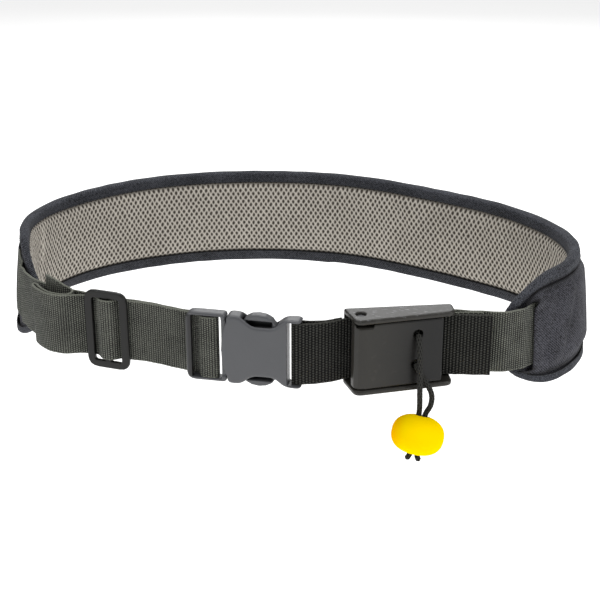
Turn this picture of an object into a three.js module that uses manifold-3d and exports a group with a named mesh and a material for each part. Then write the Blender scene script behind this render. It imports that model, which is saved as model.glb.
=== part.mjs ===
// Padded waist belt worn round an unseen waist: a curved back pad, a strap in a sleeve,
// a side release buckle, and a cam buckle whose lever opens by a cord and a ball.
// Millimetres, Z up, front towards -Y, middle of the waist opening at the origin.
import * as THREE from "three";
import { mergeVertices } from "three/addons/utils/BufferGeometryUtils.js";
import Module from "manifold-3d";

const wasm = await Module();
wasm.setup();

const GAP = 0.3;
const CLOTH_GAP = 0.6;

// plan line of the pad's outer face, its reach from the middle by angle
const WAIST_REACH = 183;
const WAIST_WAVES = [
  { turns: 1, cos: 2, sin: -0.2 },
  { turns: 2, cos: 41.6, sin: 0.4 },
  { turns: 3, cos: 3.2, sin: -3.9 },
  { turns: 4, cos: 9.6, sin: 1.5 },
  { turns: 5, cos: 2.4, sin: -2.9 },
];

const WAIST_STEPS = 1200;

const PAD_RIGHT_ANGLE = -28;
const PAD_LEFT_ANGLE = 207.5;
const PAD_HALF_HEIGHT = 42.8;
const PAD_END_ROUND = 56;
// the pad's lower edge stands out more than its upper one, except near the tips
const PAD_FLARE = 0.05;
const FLARE_FROM = -105;
const FLARE_FULL = -60;
// and most of all at the wearer's sides
const FLARE_SIDE = 0.06;
const FLARE_SIDE_FROM = 150;
const FLARE_SIDE_FULL = 220;
const PAD_FULL_THICK = 9;
const PAD_EDGE_THICK = 5;
const PAD_EDGE_RISE = 18;
const PAD_COLUMNS = 36;
const PAD_ROWS = 8;

const BINDING_THICK = 1;
const BINDING_OUTER_GAP = 1.1;
const BINDING_INNER_GAP = 1.8;
const BINDING_OUTER_LEG = 7.3;
const BINDING_INNER_LEG = 9.6;
const BINDING_ROUND = 1.2;
const BINDING_INNER_CORNER = 1;

const LINING_THICK = 1.6;
const LINING_GAP = 1.1;
const LINING_INSET = 10.8;
const LINING_COLUMNS = 36;
const LINING_ROWS = 6;

const SLEEVE_RIGHT_INSET = 29;
const SLEEVE_LEFT_INSET = 58;
const SLEEVE_STATIONS = 40;
// half the sleeve's section: height on the pad, stand off of its outer and inner side
const SLEEVE_SECTION = [
  { height: 32, outer: 1.6, inner: 0.6 },
  { height: 27.6, outer: 1.8, inner: 0.6 },
  { height: 26, outer: 5.1, inner: 4 },
];

const SLEEVE_HEM_ROOM = 2.5;
const SLEEVE_HEM_LEAST = 27.9;
const SLEEVE_WALL_STEP = 0.6;

const WEB_WIDTH = 50;
const WEB_THICK = 1.8;
const STRAP_STEP = 1.2;
const STRAP_TOLERANCE = 0.16;
const WEB_ON_PAD = CLOTH_GAP + WEB_THICK / 2;
// the clip hangs a little lower than the rest of the belt
const FRONT_SAG = 1.5;
const SAG_FROM = 85;
const SAG_FULL = 47;
// the last fold of the grey strap's tail stands a little higher than the rest
const TAIL_LIFT = 9;
const TAIL_LIFT_FROM = 34;
// the grey strap rides over the binding near the pad's tips
const OVER_BINDING = 3.4;
const OVER_BINDING_FROM = 18;
const OVER_BINDING_TO = 29;

// where the rigid pieces stand in plan, and how they turn
const CAM_PLACE = { x: 69.5, y: -131.2, turn: 18.4 };
const CLIP_PLACE = { x: 0, y: -147.5, turn: 0, rise: -1.5 };
const GLIDE_PLACE = { x: -113, y: -138.8, turn: -7.5, rise: -0.8 };

const CAM_LENGTH = 82;
const CAM_HALF_HEIGHT = 30.5;
const CAM_PLATE = 3;
const CAM_FLANGE = 3.9;
const CAM_DEEP_END = 26.3;
const CAM_SHALLOW_END = 16;
const CAM_SLOT = { from: 70, to: 76, half: 25.8 };
const CAM_EDGE = 0.9;
const PIVOT = { along: 11.5, out: 12.6 };
const PIN_RADIUS = 3.4;
const PIN_HOLE = 3.8;
const PIN_HALF_LENGTH = 29;

const LEVER_HALF_HEIGHT = 26;
const LEVER_HOLE = 3.4;
const LEVER_EDGE = 0.8;
const LEVER_HOLES = [
  { along: 53.6, height: 14.75 },
  { along: 52.6, height: -9.25 },
];
// the lever's plan section, anticlockwise from its free end
const LEVER_SECTION = [
  { along: 73, out: 12.4 },
  { along: 73, out: 16 },
  { along: 14, out: 24.2 },
  { along: 8.6, out: 24 },
  { along: 5.4, out: 20.9 },
  { along: 4.3, out: 16.4 },
  { along: 4.7, out: 13.2 },
  { along: 5.6, out: 10 },
  { along: 8, out: 7.1 },
  { along: 11.5, out: 6 },
  { along: 15.4, out: 6.7 },
  { along: 18.6, out: 9.6 },
  { along: 19.6, out: 14 },
  { along: 21.5, out: 19.4 },
];

const CLIP_SPLIT = -15;
const CLIP_LEFT = -46.5;
const CLIP_RIGHT = 43;
const CLIP_HALF_HEIGHT = 28;
const CLIP_THICK = 13;
const CLIP_WALL = 2;
const CLIP_EDGE = 2;
const CLIP_HOLLOW = { to: 28, half: 23 };
const CLIP_SLOT_FROM = 31.5;
const BAR_ROOT = 0.8;
const CLIP_SLOT_HALF = 25.7;
const CLIP_BAR = { from: 36.2, to: 39.4, thick: 4.4, back: 1.5 };
const SCALLOP = { from: -4, to: 29.5, depth: 7.6 };
// the hollow half's mouth bows towards the plug between its corners
const CLIP_BOW = { reach: 4, half: 22, steps: 6, root: 4, edge: 0 };
// opening between the hollow half's two faces for the prongs' finger pads
const WING_GAP = { from: -3.6, to: 23.4, low: 20, high: 32 };
const MALE_THICK = 10;
const MALE_EDGE = 1.5;
const MALE_SLOT_TO = -19;
const MALE_TONGUE = { from: -17, to: 8, half: 3.5 };
const MALE_OUTER_BAR = { from: -46.5, to: -42, thick: 5.4, back: -2.6 };
const MALE_INNER_BAR = { from: -32.8, to: -24.6, thick: 3.2, back: -0.6 };
const PRONG = [
  { along: -17, height: 9 },
  { along: 18, height: 11 },
  { along: 26, height: 15 },
  { along: 25.6, height: 19 },
  { along: 22, height: 22.6 },
  { along: 19.6, height: 26 },
  { along: 15, height: 28.4 },
  { along: 9.5, height: 29.2 },
  { along: 4, height: 28.4 },
  { along: -0.4, height: 26 },
  { along: -2.6, height: 22.6 },
  { along: -4.4, height: 19.4 },
  { along: -7, height: 18 },
  { along: -17, height: 18 },
];

const GLIDE_WIDTH = 36;
const GLIDE_HALF_HEIGHT = 32.4;
const GLIDE_THICK = 3.6;
const GLIDE_CORNER = 9;
const GLIDE_WINDOW_CORNER = 2;
const GLIDE_EDGE = 0.8;
const GLIDE_SIDE_BAR = 6.4;
const GLIDE_RAIL = 6;
const GLIDE_CENTRE_BAR = 4.4;

const CORD_RADIUS = 2.1;
const CORD_SIDES = 8;
const CORD_STEPS = 28;
const BALL_RADIUS = 20;
const BALL_HALF_HEIGHT = 15;
const BALL_BORE = 5.2;
const BALL_PLACE = { along: 53.9, out: 28.2, height: -64, lean: 15, tilt: 18 };

const LOOKS = {
  slateCloth: { color: 0x3d3e43, roughness: 0.9, metalness: 0 },
  bindingTape: { color: 0x34353a, roughness: 0.9, metalness: 0 },
  spacerMesh: { color: 0x8e897f, roughness: 0.95, metalness: 0 },
  greyWebbing: { color: 0x4b4d48, roughness: 0.9, metalness: 0 },
  blackWebbing: { color: 0x1f1f1e, roughness: 0.9, metalness: 0 },
  slatePlastic: { color: 0x5d5f63, roughness: 0.45, metalness: 0 },
  blackPlastic: { color: 0x32322f, roughness: 0.5, metalness: 0 },
  darkCord: { color: 0x2a2a28, roughness: 0.9, metalness: 0 },
  yellowBall: { color: 0xffd400, roughness: 0.35, metalness: 0 },
};

const belt = new THREE.Group();
belt.name = "quick_release_waist_belt";

function add(name, geometry, look) {
  geometry.computeVertexNormals();
  const piece = new THREE.Mesh(geometry, new THREE.MeshStandardMaterial(LOOKS[look]));
  piece.name = name;
  belt.add(piece);
}

function surface(points, triangles) {
  const geometry = new THREE.BufferGeometry();
  geometry.setAttribute("position", new THREE.Float32BufferAttribute(points.flat(), 3));
  geometry.setIndex(triangles.flat());
  return geometry;
}

// the waist line measured once, so that places on it go by distance from the pad's right tip
const radians = THREE.MathUtils.degToRad;

function waistAt(angle) {
  let reach = WAIST_REACH;
  for (const wave of WAIST_WAVES) {
    reach += wave.cos * Math.cos(wave.turns * angle) + wave.sin * Math.sin(wave.turns * angle);
  }
  return new THREE.Vector2(reach * Math.cos(angle), reach * Math.sin(angle));
}

const waistLine = [];
let padLength = 0;
for (let step = 0; step <= WAIST_STEPS; step += 1) {
  const angle = radians(THREE.MathUtils.lerp(PAD_RIGHT_ANGLE, PAD_LEFT_ANGLE, step / WAIST_STEPS));
  const here = waistAt(angle);
  const ahead = waistAt(angle + 0.001).sub(waistAt(angle - 0.001)).normalize();
  if (step > 0) padLength += here.distanceTo(waistLine[step - 1].here);
  waistLine.push({ distance: padLength, here, ahead });
}

function flareAt(x, y) {
  const side = THREE.MathUtils.smoothstep(Math.abs(x), FLARE_SIDE_FROM, FLARE_SIDE_FULL);
  return (PAD_FLARE + FLARE_SIDE * side) * THREE.MathUtils.smoothstep(y, FLARE_FROM, FLARE_FULL);
}

function sagAt(x) {
  return -FRONT_SAG * (1 - THREE.MathUtils.smoothstep(Math.abs(x), SAG_FULL, SAG_FROM));
}

function onPad(distance, height, out) {
  let low = 0;
  let high = waistLine.length - 1;
  while (high - low > 1) {
    const middle = (low + high) >> 1;
    if (waistLine[middle].distance > distance) high = middle;
    else low = middle;
  }
  const a = waistLine[low];
  const b = waistLine[high];
  const part = (distance - a.distance) / (b.distance - a.distance);
  const here = a.here.clone().lerp(b.here, part);
  const ahead = a.ahead.clone().lerp(b.ahead, THREE.MathUtils.clamp(part, 0, 1)).normalize();
  const stand = out - flareAt(here.x, here.y) * height;
  return [here.x + stand * ahead.y, here.y - stand * ahead.x, height];
}

// 1 on the pad's edge, 0 along its middle
function edgeShare(distance, height) {
  const fromTip = Math.min(distance, padLength - distance);
  const endShare = Math.max(0, (PAD_END_ROUND - fromTip) / PAD_END_ROUND);
  return Math.hypot(endShare, height / PAD_HALF_HEIGHT);
}

function edgeHeight(distance) {
  const fromTip = Math.min(distance, padLength - distance);
  const endShare = Math.max(0, (PAD_END_ROUND - fromTip) / PAD_END_ROUND);
  return PAD_HALF_HEIGHT * Math.sqrt(1 - endShare * endShare);
}

function padThick(distance, height) {
  const inside = PAD_HALF_HEIGHT * (1 - edgeShare(distance, height));
  const rise = THREE.MathUtils.smoothstep(inside, -PAD_EDGE_RISE, PAD_EDGE_RISE) * 2 - 1;
  return PAD_EDGE_THICK + (PAD_FULL_THICK - PAD_EDGE_THICK) * Math.max(0, rise);
}

// a closed sheet between two faces, each given over u along and v across
function sheet(columns, rows, outerFace, innerFace) {
  const points = [];
  const triangles = [];
  const width = rows + 1;
  for (const face of [outerFace, innerFace]) {
    for (let column = 0; column <= columns; column += 1) {
      for (let row = 0; row <= rows; row += 1) {
        points.push(face(column / columns, Math.sin(Math.PI * (row / rows - 0.5))));
      }
    }
  }
  const inner = (columns + 1) * width;
  for (let column = 0; column < columns; column += 1) {
    for (let row = 0; row < rows; row += 1) {
      const a = column * width + row;
      const b = a + width;
      triangles.push([a, b, b + 1], [a, b + 1, a + 1]);
      triangles.push([inner + a, inner + b + 1, inner + b], [inner + a, inner + a + 1, inner + b + 1]);
    }
  }
  const rim = [];
  for (let column = 0; column < columns; column += 1) rim.push(column * width);
  for (let row = 0; row < rows; row += 1) rim.push(columns * width + row);
  for (let column = columns; column > 0; column -= 1) rim.push(column * width + rows);
  for (let row = rows; row > 0; row -= 1) rim.push(row);
  rim.forEach((a, index) => {
    const b = rim[(index + 1) % rim.length];
    triangles.push([b, a, inner + a], [b, inner + a, inner + b]);
  });
  return surface(points, triangles);
}

// one section carried through stations, closed into a ring or capped at both ends
function sweep(stations, sides, ring) {
  const points = stations.flat();
  const triangles = [];
  const count = stations.length;
  for (let station = 0; station < (ring ? count : count - 1); station += 1) {
    const next = (station + 1) % count;
    for (let side = 0; side < sides; side += 1) {
      const a = station * sides + side;
      const b = station * sides + ((side + 1) % sides);
      const c = next * sides + side;
      const d = next * sides + ((side + 1) % sides);
      triangles.push([a, b, d], [a, d, c]);
    }
  }
  return { points, triangles };
}

function capped(stations, sides, caps) {
  const body = sweep(stations, sides, false);
  const last = (stations.length - 1) * sides;
  for (const [a, b, c] of caps) {
    body.triangles.push([c, b, a], [last + a, last + b, last + c]);
  }
  return surface(body.points, body.triangles);
}

// flat triangles over an outline, turning the same way as the outline
function capsFor(outline) {
  const corners = outline.map(([x, y]) => new THREE.Vector2(x, y));
  const turning = Math.sign(THREE.ShapeUtils.area(corners));
  return THREE.ShapeUtils.triangulateShape(corners, []).map(([a, b, c]) => {
    const same = Math.sign(THREE.ShapeUtils.area([corners[a], corners[b], corners[c]])) === turning;
    return same ? [a, b, c] : [c, b, a];
  });
}

// a strap of webbing on edge along a plan line, leaning as the pad does and sagging at the clip
function strap(line, endLift) {
  const half = WEB_WIDTH / 2;
  const toEnd = line.map(() => 0);
  for (let index = line.length - 2; index >= 0; index -= 1) {
    const step = Math.hypot(line[index + 1].x - line[index].x, line[index + 1].y - line[index].y);
    toEnd[index] = toEnd[index + 1] + step;
  }
  const stations = line.map((point, index) => {
    const before = line[Math.max(0, index - 1)];
    const after = line[Math.min(line.length - 1, index + 1)];
    const ahead = new THREE.Vector2(after.x - before.x, after.y - before.y).normalize();
    const sag = point.y < FLARE_FROM ? sagAt(point.x) : 0;
    const rise = sag + endLift * (1 - THREE.MathUtils.smoothstep(toEnd[index], 0, TAIL_LIFT_FROM));
    const corner = (out, height) => {
      const stand = out - flareAt(point.x, point.y) * height;
      return [point.x + stand * ahead.y, point.y - stand * ahead.x, height + rise];
    };
    return [
      corner(WEB_THICK / 2, -half),
      corner(-WEB_THICK / 2, -half),
      corner(-WEB_THICK / 2, half),
      corner(WEB_THICK / 2, half),
    ];
  });
  return capped(stations, 4, [[0, 1, 2], [0, 2, 3]]);
}

// a smooth line through plan points, with points left out where it runs nearly straight
function smoothLine(points) {
  const curve = new THREE.CatmullRomCurve3(
    points.map((p) => new THREE.Vector3(p.x, p.y, 0)), false, "centripetal");
  const fine = curve.getSpacedPoints(Math.max(8, Math.round(curve.getLength() / STRAP_STEP)));
  return thinned(fine, STRAP_TOLERANCE);
}

function thinned(line, tolerance) {
  if (line.length < 3) return line;
  const first = line[0];
  const last = line[line.length - 1];
  const chord = new THREE.Line3(
    new THREE.Vector3(first.x, first.y, 0), new THREE.Vector3(last.x, last.y, 0));
  const foot = new THREE.Vector3();
  let worst = 0;
  let at = 0;
  for (let index = 1; index < line.length - 1; index += 1) {
    const here = new THREE.Vector3(line[index].x, line[index].y, 0);
    const away = chord.closestPointToPoint(here, true, foot).distanceTo(here);
    if (away > worst) {
      worst = away;
      at = index;
    }
  }
  if (worst < tolerance) return [first, last];
  return [...thinned(line.slice(0, at + 1), tolerance).slice(0, -1), ...thinned(line.slice(at), tolerance)];
}

// local places of a rigid piece: along it, out from the wearer, and height
function placed(place, along, out) {
  const turn = radians(place.turn);
  return {
    x: place.x + along * Math.cos(turn) + out * Math.sin(turn),
    y: place.y + along * Math.sin(turn) - out * Math.cos(turn),
  };
}

function settle(geometry, place) {
  geometry.rotateZ(radians(place.turn));
  geometry.translate(place.x, place.y, place.rise || 0);
  return geometry;
}

// solids for cutting and joining
function solid(geometry) {
  geometry.deleteAttribute("normal");
  geometry.deleteAttribute("uv");
  const clean = mergeVertices(geometry, 1e-4);
  return new wasm.Manifold(new wasm.Mesh({
    numProp: 3,
    vertProperties: new Float32Array(clean.attributes.position.array),
    triVerts: new Uint32Array(clean.index.array),
  }));
}

function shown(body) {
  const made = body.getMesh();
  const geometry = new THREE.BufferGeometry();
  geometry.setAttribute("position", new THREE.Float32BufferAttribute(made.vertProperties, 3));
  geometry.setIndex(Array.from(made.triVerts));
  return geometry;
}

function block(fromX, toX, fromY, toY, fromZ, toZ) {
  const geometry = new THREE.BoxGeometry(toX - fromX, toY - fromY, toZ - fromZ);
  geometry.translate((fromX + toX) / 2, (fromY + toY) / 2, (fromZ + toZ) / 2);
  return solid(geometry);
}

function rod(radius, length, sides, x, y, z, lieAlongY) {
  const geometry = new THREE.CylinderGeometry(radius, radius, length, sides);
  if (!lieAlongY) geometry.rotateX(Math.PI / 2);
  geometry.translate(x, y, z);
  return solid(geometry);
}

// an outline with each corner rounded by its own radius
function roundedShape(corners) {
  const shape = new THREE.Shape();
  corners.forEach((corner, index) => {
    const here = new THREE.Vector2(corner.x, corner.y);
    const before = corners[(index + corners.length - 1) % corners.length];
    const after = corners[(index + 1) % corners.length];
    const into = new THREE.Vector2(before.x, before.y).sub(here).setLength(corner.round || 0.01);
    const onward = new THREE.Vector2(after.x, after.y).sub(here).setLength(corner.round || 0.01);
    const start = here.clone().add(into);
    const finish = here.clone().add(onward);
    if (index === 0) shape.moveTo(start.x, start.y);
    else shape.lineTo(start.x, start.y);
    if (corner.round) shape.quadraticCurveTo(here.x, here.y, finish.x, finish.y);
    else shape.lineTo(here.x, here.y);
  });
  shape.closePath();
  return shape;
}

function extruded(shape, depth, edge, curveSegments) {
  const geometry = new THREE.ExtrudeGeometry(shape, {
    depth: depth - 2 * edge,
    bevelEnabled: edge > 0,
    bevelThickness: edge,
    bevelSize: edge,
    bevelOffset: -edge,
    bevelSegments: 2,
    curveSegments: curveSegments || 4,
  });
  geometry.translate(0, 0, edge - depth / 2);
  return geometry;
}

// back pad, its spacer mesh lining and the tape bound round the edge
function padPlace(u, v, inset) {
  const bow = 1 - Math.sqrt(Math.max(0, 1 - v * v));
  const start = inset + (PAD_END_ROUND - inset) * bow;
  const distance = THREE.MathUtils.lerp(start, padLength - start, u);
  return { distance, height: (PAD_HALF_HEIGHT - inset) * v };
}

add("back_pad", sheet(PAD_COLUMNS, PAD_ROWS,
  (u, v) => {
    const p = padPlace(u, v, 0);
    return onPad(p.distance, p.height, 0);
  },
  (u, v) => {
    const p = padPlace(u, v, 0);
    return onPad(p.distance, p.height, -padThick(p.distance, p.height));
  }), "slateCloth");

function liningFace(depth) {
  return (u, v) => {
    const p = padPlace(u, v, LINING_INSET);
    return onPad(p.distance, p.height, -padThick(p.distance, p.height) - LINING_GAP - depth);
  };
}

add("mesh_lining", sheet(LINING_COLUMNS, LINING_ROWS, liningFace(0), liningFace(LINING_THICK)), "spacerMesh");

const bindingRim = [];
for (let step = 0; step < PAD_COLUMNS; step += 1) bindingRim.push({ u: step / PAD_COLUMNS, v: -1 });
for (let step = 0; step < PAD_ROWS; step += 1) {
  bindingRim.push({ u: 1, v: Math.sin(Math.PI * (step / PAD_ROWS - 0.5)) });
}
for (let step = PAD_COLUMNS; step > 0; step -= 1) bindingRim.push({ u: step / PAD_COLUMNS, v: 1 });
for (let step = PAD_ROWS; step > 0; step -= 1) {
  bindingRim.push({ u: 0, v: Math.sin(Math.PI * (step / PAD_ROWS - 0.5)) });
}

function bindingStation(rim) {
  const p = padPlace(rim.u, rim.v, 0);
  const nearRight = p.distance < padLength / 2;
  const fromTip = nearRight ? p.distance : padLength - p.distance;
  const endShare = Math.max(0, (PAD_END_ROUND - fromTip) / PAD_END_ROUND);
  const away = new THREE.Vector2(
    (nearRight ? -1 : 1) * endShare / PAD_END_ROUND,
    p.height / PAD_HALF_HEIGHT / PAD_HALF_HEIGHT).normalize();
  const at = (reach, out) => onPad(p.distance + away.x * reach, p.height + away.y * reach, out);
  const thick = (reach) =>
    padThick(p.distance + away.x * reach, p.height + away.y * reach) + BINDING_INNER_GAP;
  const wrap = BINDING_OUTER_GAP + BINDING_THICK;
  const inner = BINDING_INNER_CORNER;
  const under = thick(0) + BINDING_THICK;
  const leg = thick(-BINDING_INNER_LEG);
  return [
    at(-BINDING_OUTER_LEG, wrap),
    at(-BINDING_OUTER_LEG, BINDING_OUTER_GAP),
    at(inner, BINDING_OUTER_GAP),
    at(BINDING_OUTER_GAP, inner),
    at(BINDING_OUTER_GAP, inner - thick(0)),
    at(inner, -thick(0)),
    at(-BINDING_INNER_LEG, -leg),
    at(-BINDING_INNER_LEG, -leg - BINDING_THICK),
    at(wrap - BINDING_ROUND, -under),
    at(wrap, BINDING_ROUND - under),
    at(wrap, wrap - BINDING_ROUND),
    at(wrap - BINDING_ROUND, wrap),
  ];
}

const bindingStations = bindingRim.toReversed().map(bindingStation);
const binding = sweep(bindingStations, bindingStations[0].length, true);
add("edge_binding", surface(binding.points, binding.triangles), "bindingTape");

// sleeve on the outside of the pad that the strap runs through
function sleeveInside(row) {
  return row.height - (row.inner > 1 ? SLEEVE_WALL_STEP : 0);
}

const sleeveOutline = [
  ...SLEEVE_SECTION.map((row) => [row.outer, row.height]),
  ...SLEEVE_SECTION.toReversed().map((row) => [row.outer, -row.height]),
  ...SLEEVE_SECTION.map((row) => [row.inner, -sleeveInside(row)]),
  ...SLEEVE_SECTION.toReversed().map((row) => [row.inner, sleeveInside(row)]),
];
const sleeveStations = [];
for (let station = 0; station <= SLEEVE_STATIONS; station += 1) {
  const share = station / SLEEVE_STATIONS;
  const distance = THREE.MathUtils.lerp(SLEEVE_RIGHT_INSET, padLength - SLEEVE_LEFT_INSET, share);
  const room = edgeHeight(distance) - BINDING_OUTER_LEG - SLEEVE_HEM_ROOM;
  sleeveStations.push(sleeveOutline.map(([out, height]) => {
    const hem = Math.abs(height) > room ? Math.sign(height) * Math.max(room, SLEEVE_HEM_LEAST) : height;
    return onPad(distance, hem, out);
  }));
}
add("webbing_sleeve", capped(sleeveStations, sleeveOutline.length, capsFor(sleeveOutline)), "slateCloth");

// grey strap: looped on the cam buckle's end bar, through the sleeve, round the clip's inner bar,
// back through the glide, and folded twice at its end
const camLoop = [
  { along: 105, out: 6.7 },
  { along: 97, out: 5 },
  { along: 90, out: 4.3 },
  { along: 85, out: 4.4 },
  { along: 81, out: 4.5 },
  { along: 77, out: 4.45 },
  { along: 75.1, out: 3.9 },
  { along: 74.5, out: 1.5 },
  { along: 75.1, out: -0.9 },
  { along: 77, out: -1.4 },
  { along: 83.5, out: -1.3 },
  { along: 90, out: 0.6 },
  { along: 97.2, out: 2.6 },
  { along: 106.6, out: 4.5 },
].map((p) => placed(CAM_PLACE, p.along, p.out));

const throughSleeve = [];
for (let step = 0; step <= 100; step += 1) {
  const distance = THREE.MathUtils.lerp(2, padLength - 12, step / 100);
  const fromTip = Math.min(distance, padLength - distance);
  const overBinding = 1 - THREE.MathUtils.smoothstep(fromTip, OVER_BINDING_FROM, OVER_BINDING_TO);
  const [x, y] = onPad(distance, 0, WEB_ON_PAD + OVER_BINDING * overBinding);
  throughSleeve.push({ x, y });
}

const rearStrand = [
  { x: -196.6, y: -97.2 },
  { x: -180.6, y: -111.6 },
  { x: -160, y: -121.2 },
  { x: -138, y: -127 },
  { x: -123.8, y: -131.2 },
  { x: -107.3, y: -133.6 },
  { x: -90, y: -135.6 },
  { x: -66, y: -138.4 },
  { x: -46, y: -140.8 },
  { x: -37.5, y: -142 },
  { x: -31, y: -143.4 },
  { x: -25, y: -143.9 },
  { x: -23.2, y: -145 },
  { x: -22.8, y: -148 },
  { x: -23.3, y: -150.3 },
  { x: -25.2, y: -151.25 },
  { x: -32.2, y: -151.25 },
  { x: -34.4, y: -150.4 },
  { x: -37.6, y: -145.9 },
  { x: -40.4, y: -144.3 },
  { x: -52, y: -142.2 },
  { x: -84, y: -138.3 },
];

const overGlide = [
  { along: 14, out: -3.05 },
  { along: 10.8, out: -3 },
  { along: 9.4, out: -2.5 },
  { along: 3.6, out: 2.6 },
  { along: 2, out: 3.05 },
  { along: -2, out: 3.05 },
  { along: -3.6, out: 2.6 },
  { along: -9.4, out: -2.5 },
  { along: -10.8, out: -3 },
  { along: -15, out: -3.1 },
].map((p) => placed(GLIDE_PLACE, p.along, p.out));

const foldedEnd = [
  { x: -135.5, y: -133.9 },
  { x: -143, y: -136.4 },
  { x: -152, y: -138.3 },
  { x: -161.5, y: -136.2 },
  { x: -170.2, y: -131 },
  { x: -177.2, y: -124.4 },
  { x: -179.6, y: -121.4 },
  { x: -179.2, y: -119.2 },
  { x: -176.9, y: -119.8 },
  { x: -174.4, y: -122.6 },
  { x: -168.4, y: -128.6 },
  { x: -160.4, y: -133.5 },
  { x: -152.2, y: -135.4 },
  { x: -146.6, y: -134.6 },
  { x: -143.7, y: -132.4 },
  { x: -143.3, y: -129.6 },
  { x: -145.6, y: -127.6 },
  { x: -151, y: -126.6 },
  { x: -161, y: -123.8 },
  { x: -168, y: -120.5 },
];

const greyLine = smoothLine(
  [...camLoop, ...throughSleeve, ...rearStrand, ...overGlide, ...foldedEnd]);
add("grey_webbing", strap(greyLine, TAIL_LIFT), "greyWebbing");

// black strap: sewn loop on the clip's end bar, through the cam buckle to its free end
const blackLine = smoothLine([
  { x: 69.2, y: -134.1 },
  { x: 64.6, y: -136.5 },
  { x: 58, y: -139.5 },
  { x: 50, y: -141.5 },
  { x: 41, y: -142.1 },
  { x: 37, y: -142.2 },
  { x: 35.2, y: -143.2 },
  { x: 34.75, y: -146 },
  { x: 35.2, y: -148.8 },
  { x: 37, y: -149.8 },
  { x: 40.4, y: -149.5 },
  { x: 46, y: -147.4 },
  ...[
    { along: -14, out: 7.8 },
    { along: -5, out: 6.4 },
    { along: 3, out: 4.6 },
    { along: 9, out: 4.25 },
    { along: 55, out: 4.3 },
    { along: 75, out: 6.2 },
    { along: 88, out: 8.6 },
    { along: 100, out: 10.7 },
    { along: 111, out: 12.6 },
  ].map((p) => placed(CAM_PLACE, p.along, p.out)),
]);
add("black_webbing", strap(blackLine, 0), "blackWebbing");

// glide: a frame with a middle bar that the strap passes over
const glideHalf = GLIDE_WIDTH / 2;
const glideFrame = solid(extruded(roundedShape([
  { x: -glideHalf, y: -GLIDE_HALF_HEIGHT, round: GLIDE_CORNER },
  { x: glideHalf, y: -GLIDE_HALF_HEIGHT, round: GLIDE_CORNER },
  { x: glideHalf, y: GLIDE_HALF_HEIGHT, round: GLIDE_CORNER },
  { x: -glideHalf, y: GLIDE_HALF_HEIGHT, round: GLIDE_CORNER },
]), GLIDE_THICK, GLIDE_EDGE).rotateX(Math.PI / 2));
const glideInner = glideHalf - GLIDE_SIDE_BAR;
const glideWindow = solid(extruded(roundedShape([
  { x: -glideInner, y: GLIDE_RAIL - GLIDE_HALF_HEIGHT, round: GLIDE_WINDOW_CORNER },
  { x: glideInner, y: GLIDE_RAIL - GLIDE_HALF_HEIGHT, round: GLIDE_WINDOW_CORNER },
  { x: glideInner, y: GLIDE_HALF_HEIGHT - GLIDE_RAIL, round: GLIDE_WINDOW_CORNER },
  { x: -glideInner, y: GLIDE_HALF_HEIGHT - GLIDE_RAIL, round: GLIDE_WINDOW_CORNER },
]), GLIDE_THICK + 4, 0).rotateX(Math.PI / 2));
const barHalf = GLIDE_THICK / 2 - 0.2;
const glideBar = block(-GLIDE_CENTRE_BAR / 2, GLIDE_CENTRE_BAR / 2, -barHalf, barHalf,
  -GLIDE_HALF_HEIGHT + 2, GLIDE_HALF_HEIGHT - 2);
add("tri_glide", settle(shown(glideFrame.subtract(glideWindow).add(glideBar)), GLIDE_PLACE), "blackPlastic");

// side release clip: the hollow half with scalloped sides and an end bar for the black strap
function clipEdge(side) {
  const points = [{ along: CLIP_SPLIT + GAP, height: CLIP_HALF_HEIGHT, round: 4 }];
  points.push({ along: SCALLOP.from, height: CLIP_HALF_HEIGHT, round: 4 });
  points.push({ along: SCALLOP.from + 9, height: CLIP_HALF_HEIGHT - SCALLOP.depth, round: 5 });
  points.push({ along: SCALLOP.to - 8, height: CLIP_HALF_HEIGHT - SCALLOP.depth, round: 4.5 });
  points.push({ along: SCALLOP.to, height: CLIP_HALF_HEIGHT - 0.5, round: 4.5 });
  points.push({ along: CLIP_RIGHT, height: CLIP_HALF_HEIGHT, round: 5 });
  return points.map((p) => ({ x: p.along, y: side * p.height, round: p.round }));
}
// the mouth's parabola, from its upper to its lower corner, closed inside the hollow half
function clipMouth() {
  const points = [new THREE.Vector2(CLIP_SPLIT + CLIP_BOW.root, CLIP_BOW.half)];
  for (let step = 0; step <= CLIP_BOW.steps; step += 1) {
    const share = 1 - 2 * step / CLIP_BOW.steps;
    const along = CLIP_SPLIT + GAP - CLIP_BOW.reach * (1 - share * share);
    points.push(new THREE.Vector2(along, share * CLIP_BOW.half));
  }
  points.push(new THREE.Vector2(CLIP_SPLIT + CLIP_BOW.root, -CLIP_BOW.half));
  return new THREE.Shape(points);
}

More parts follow.
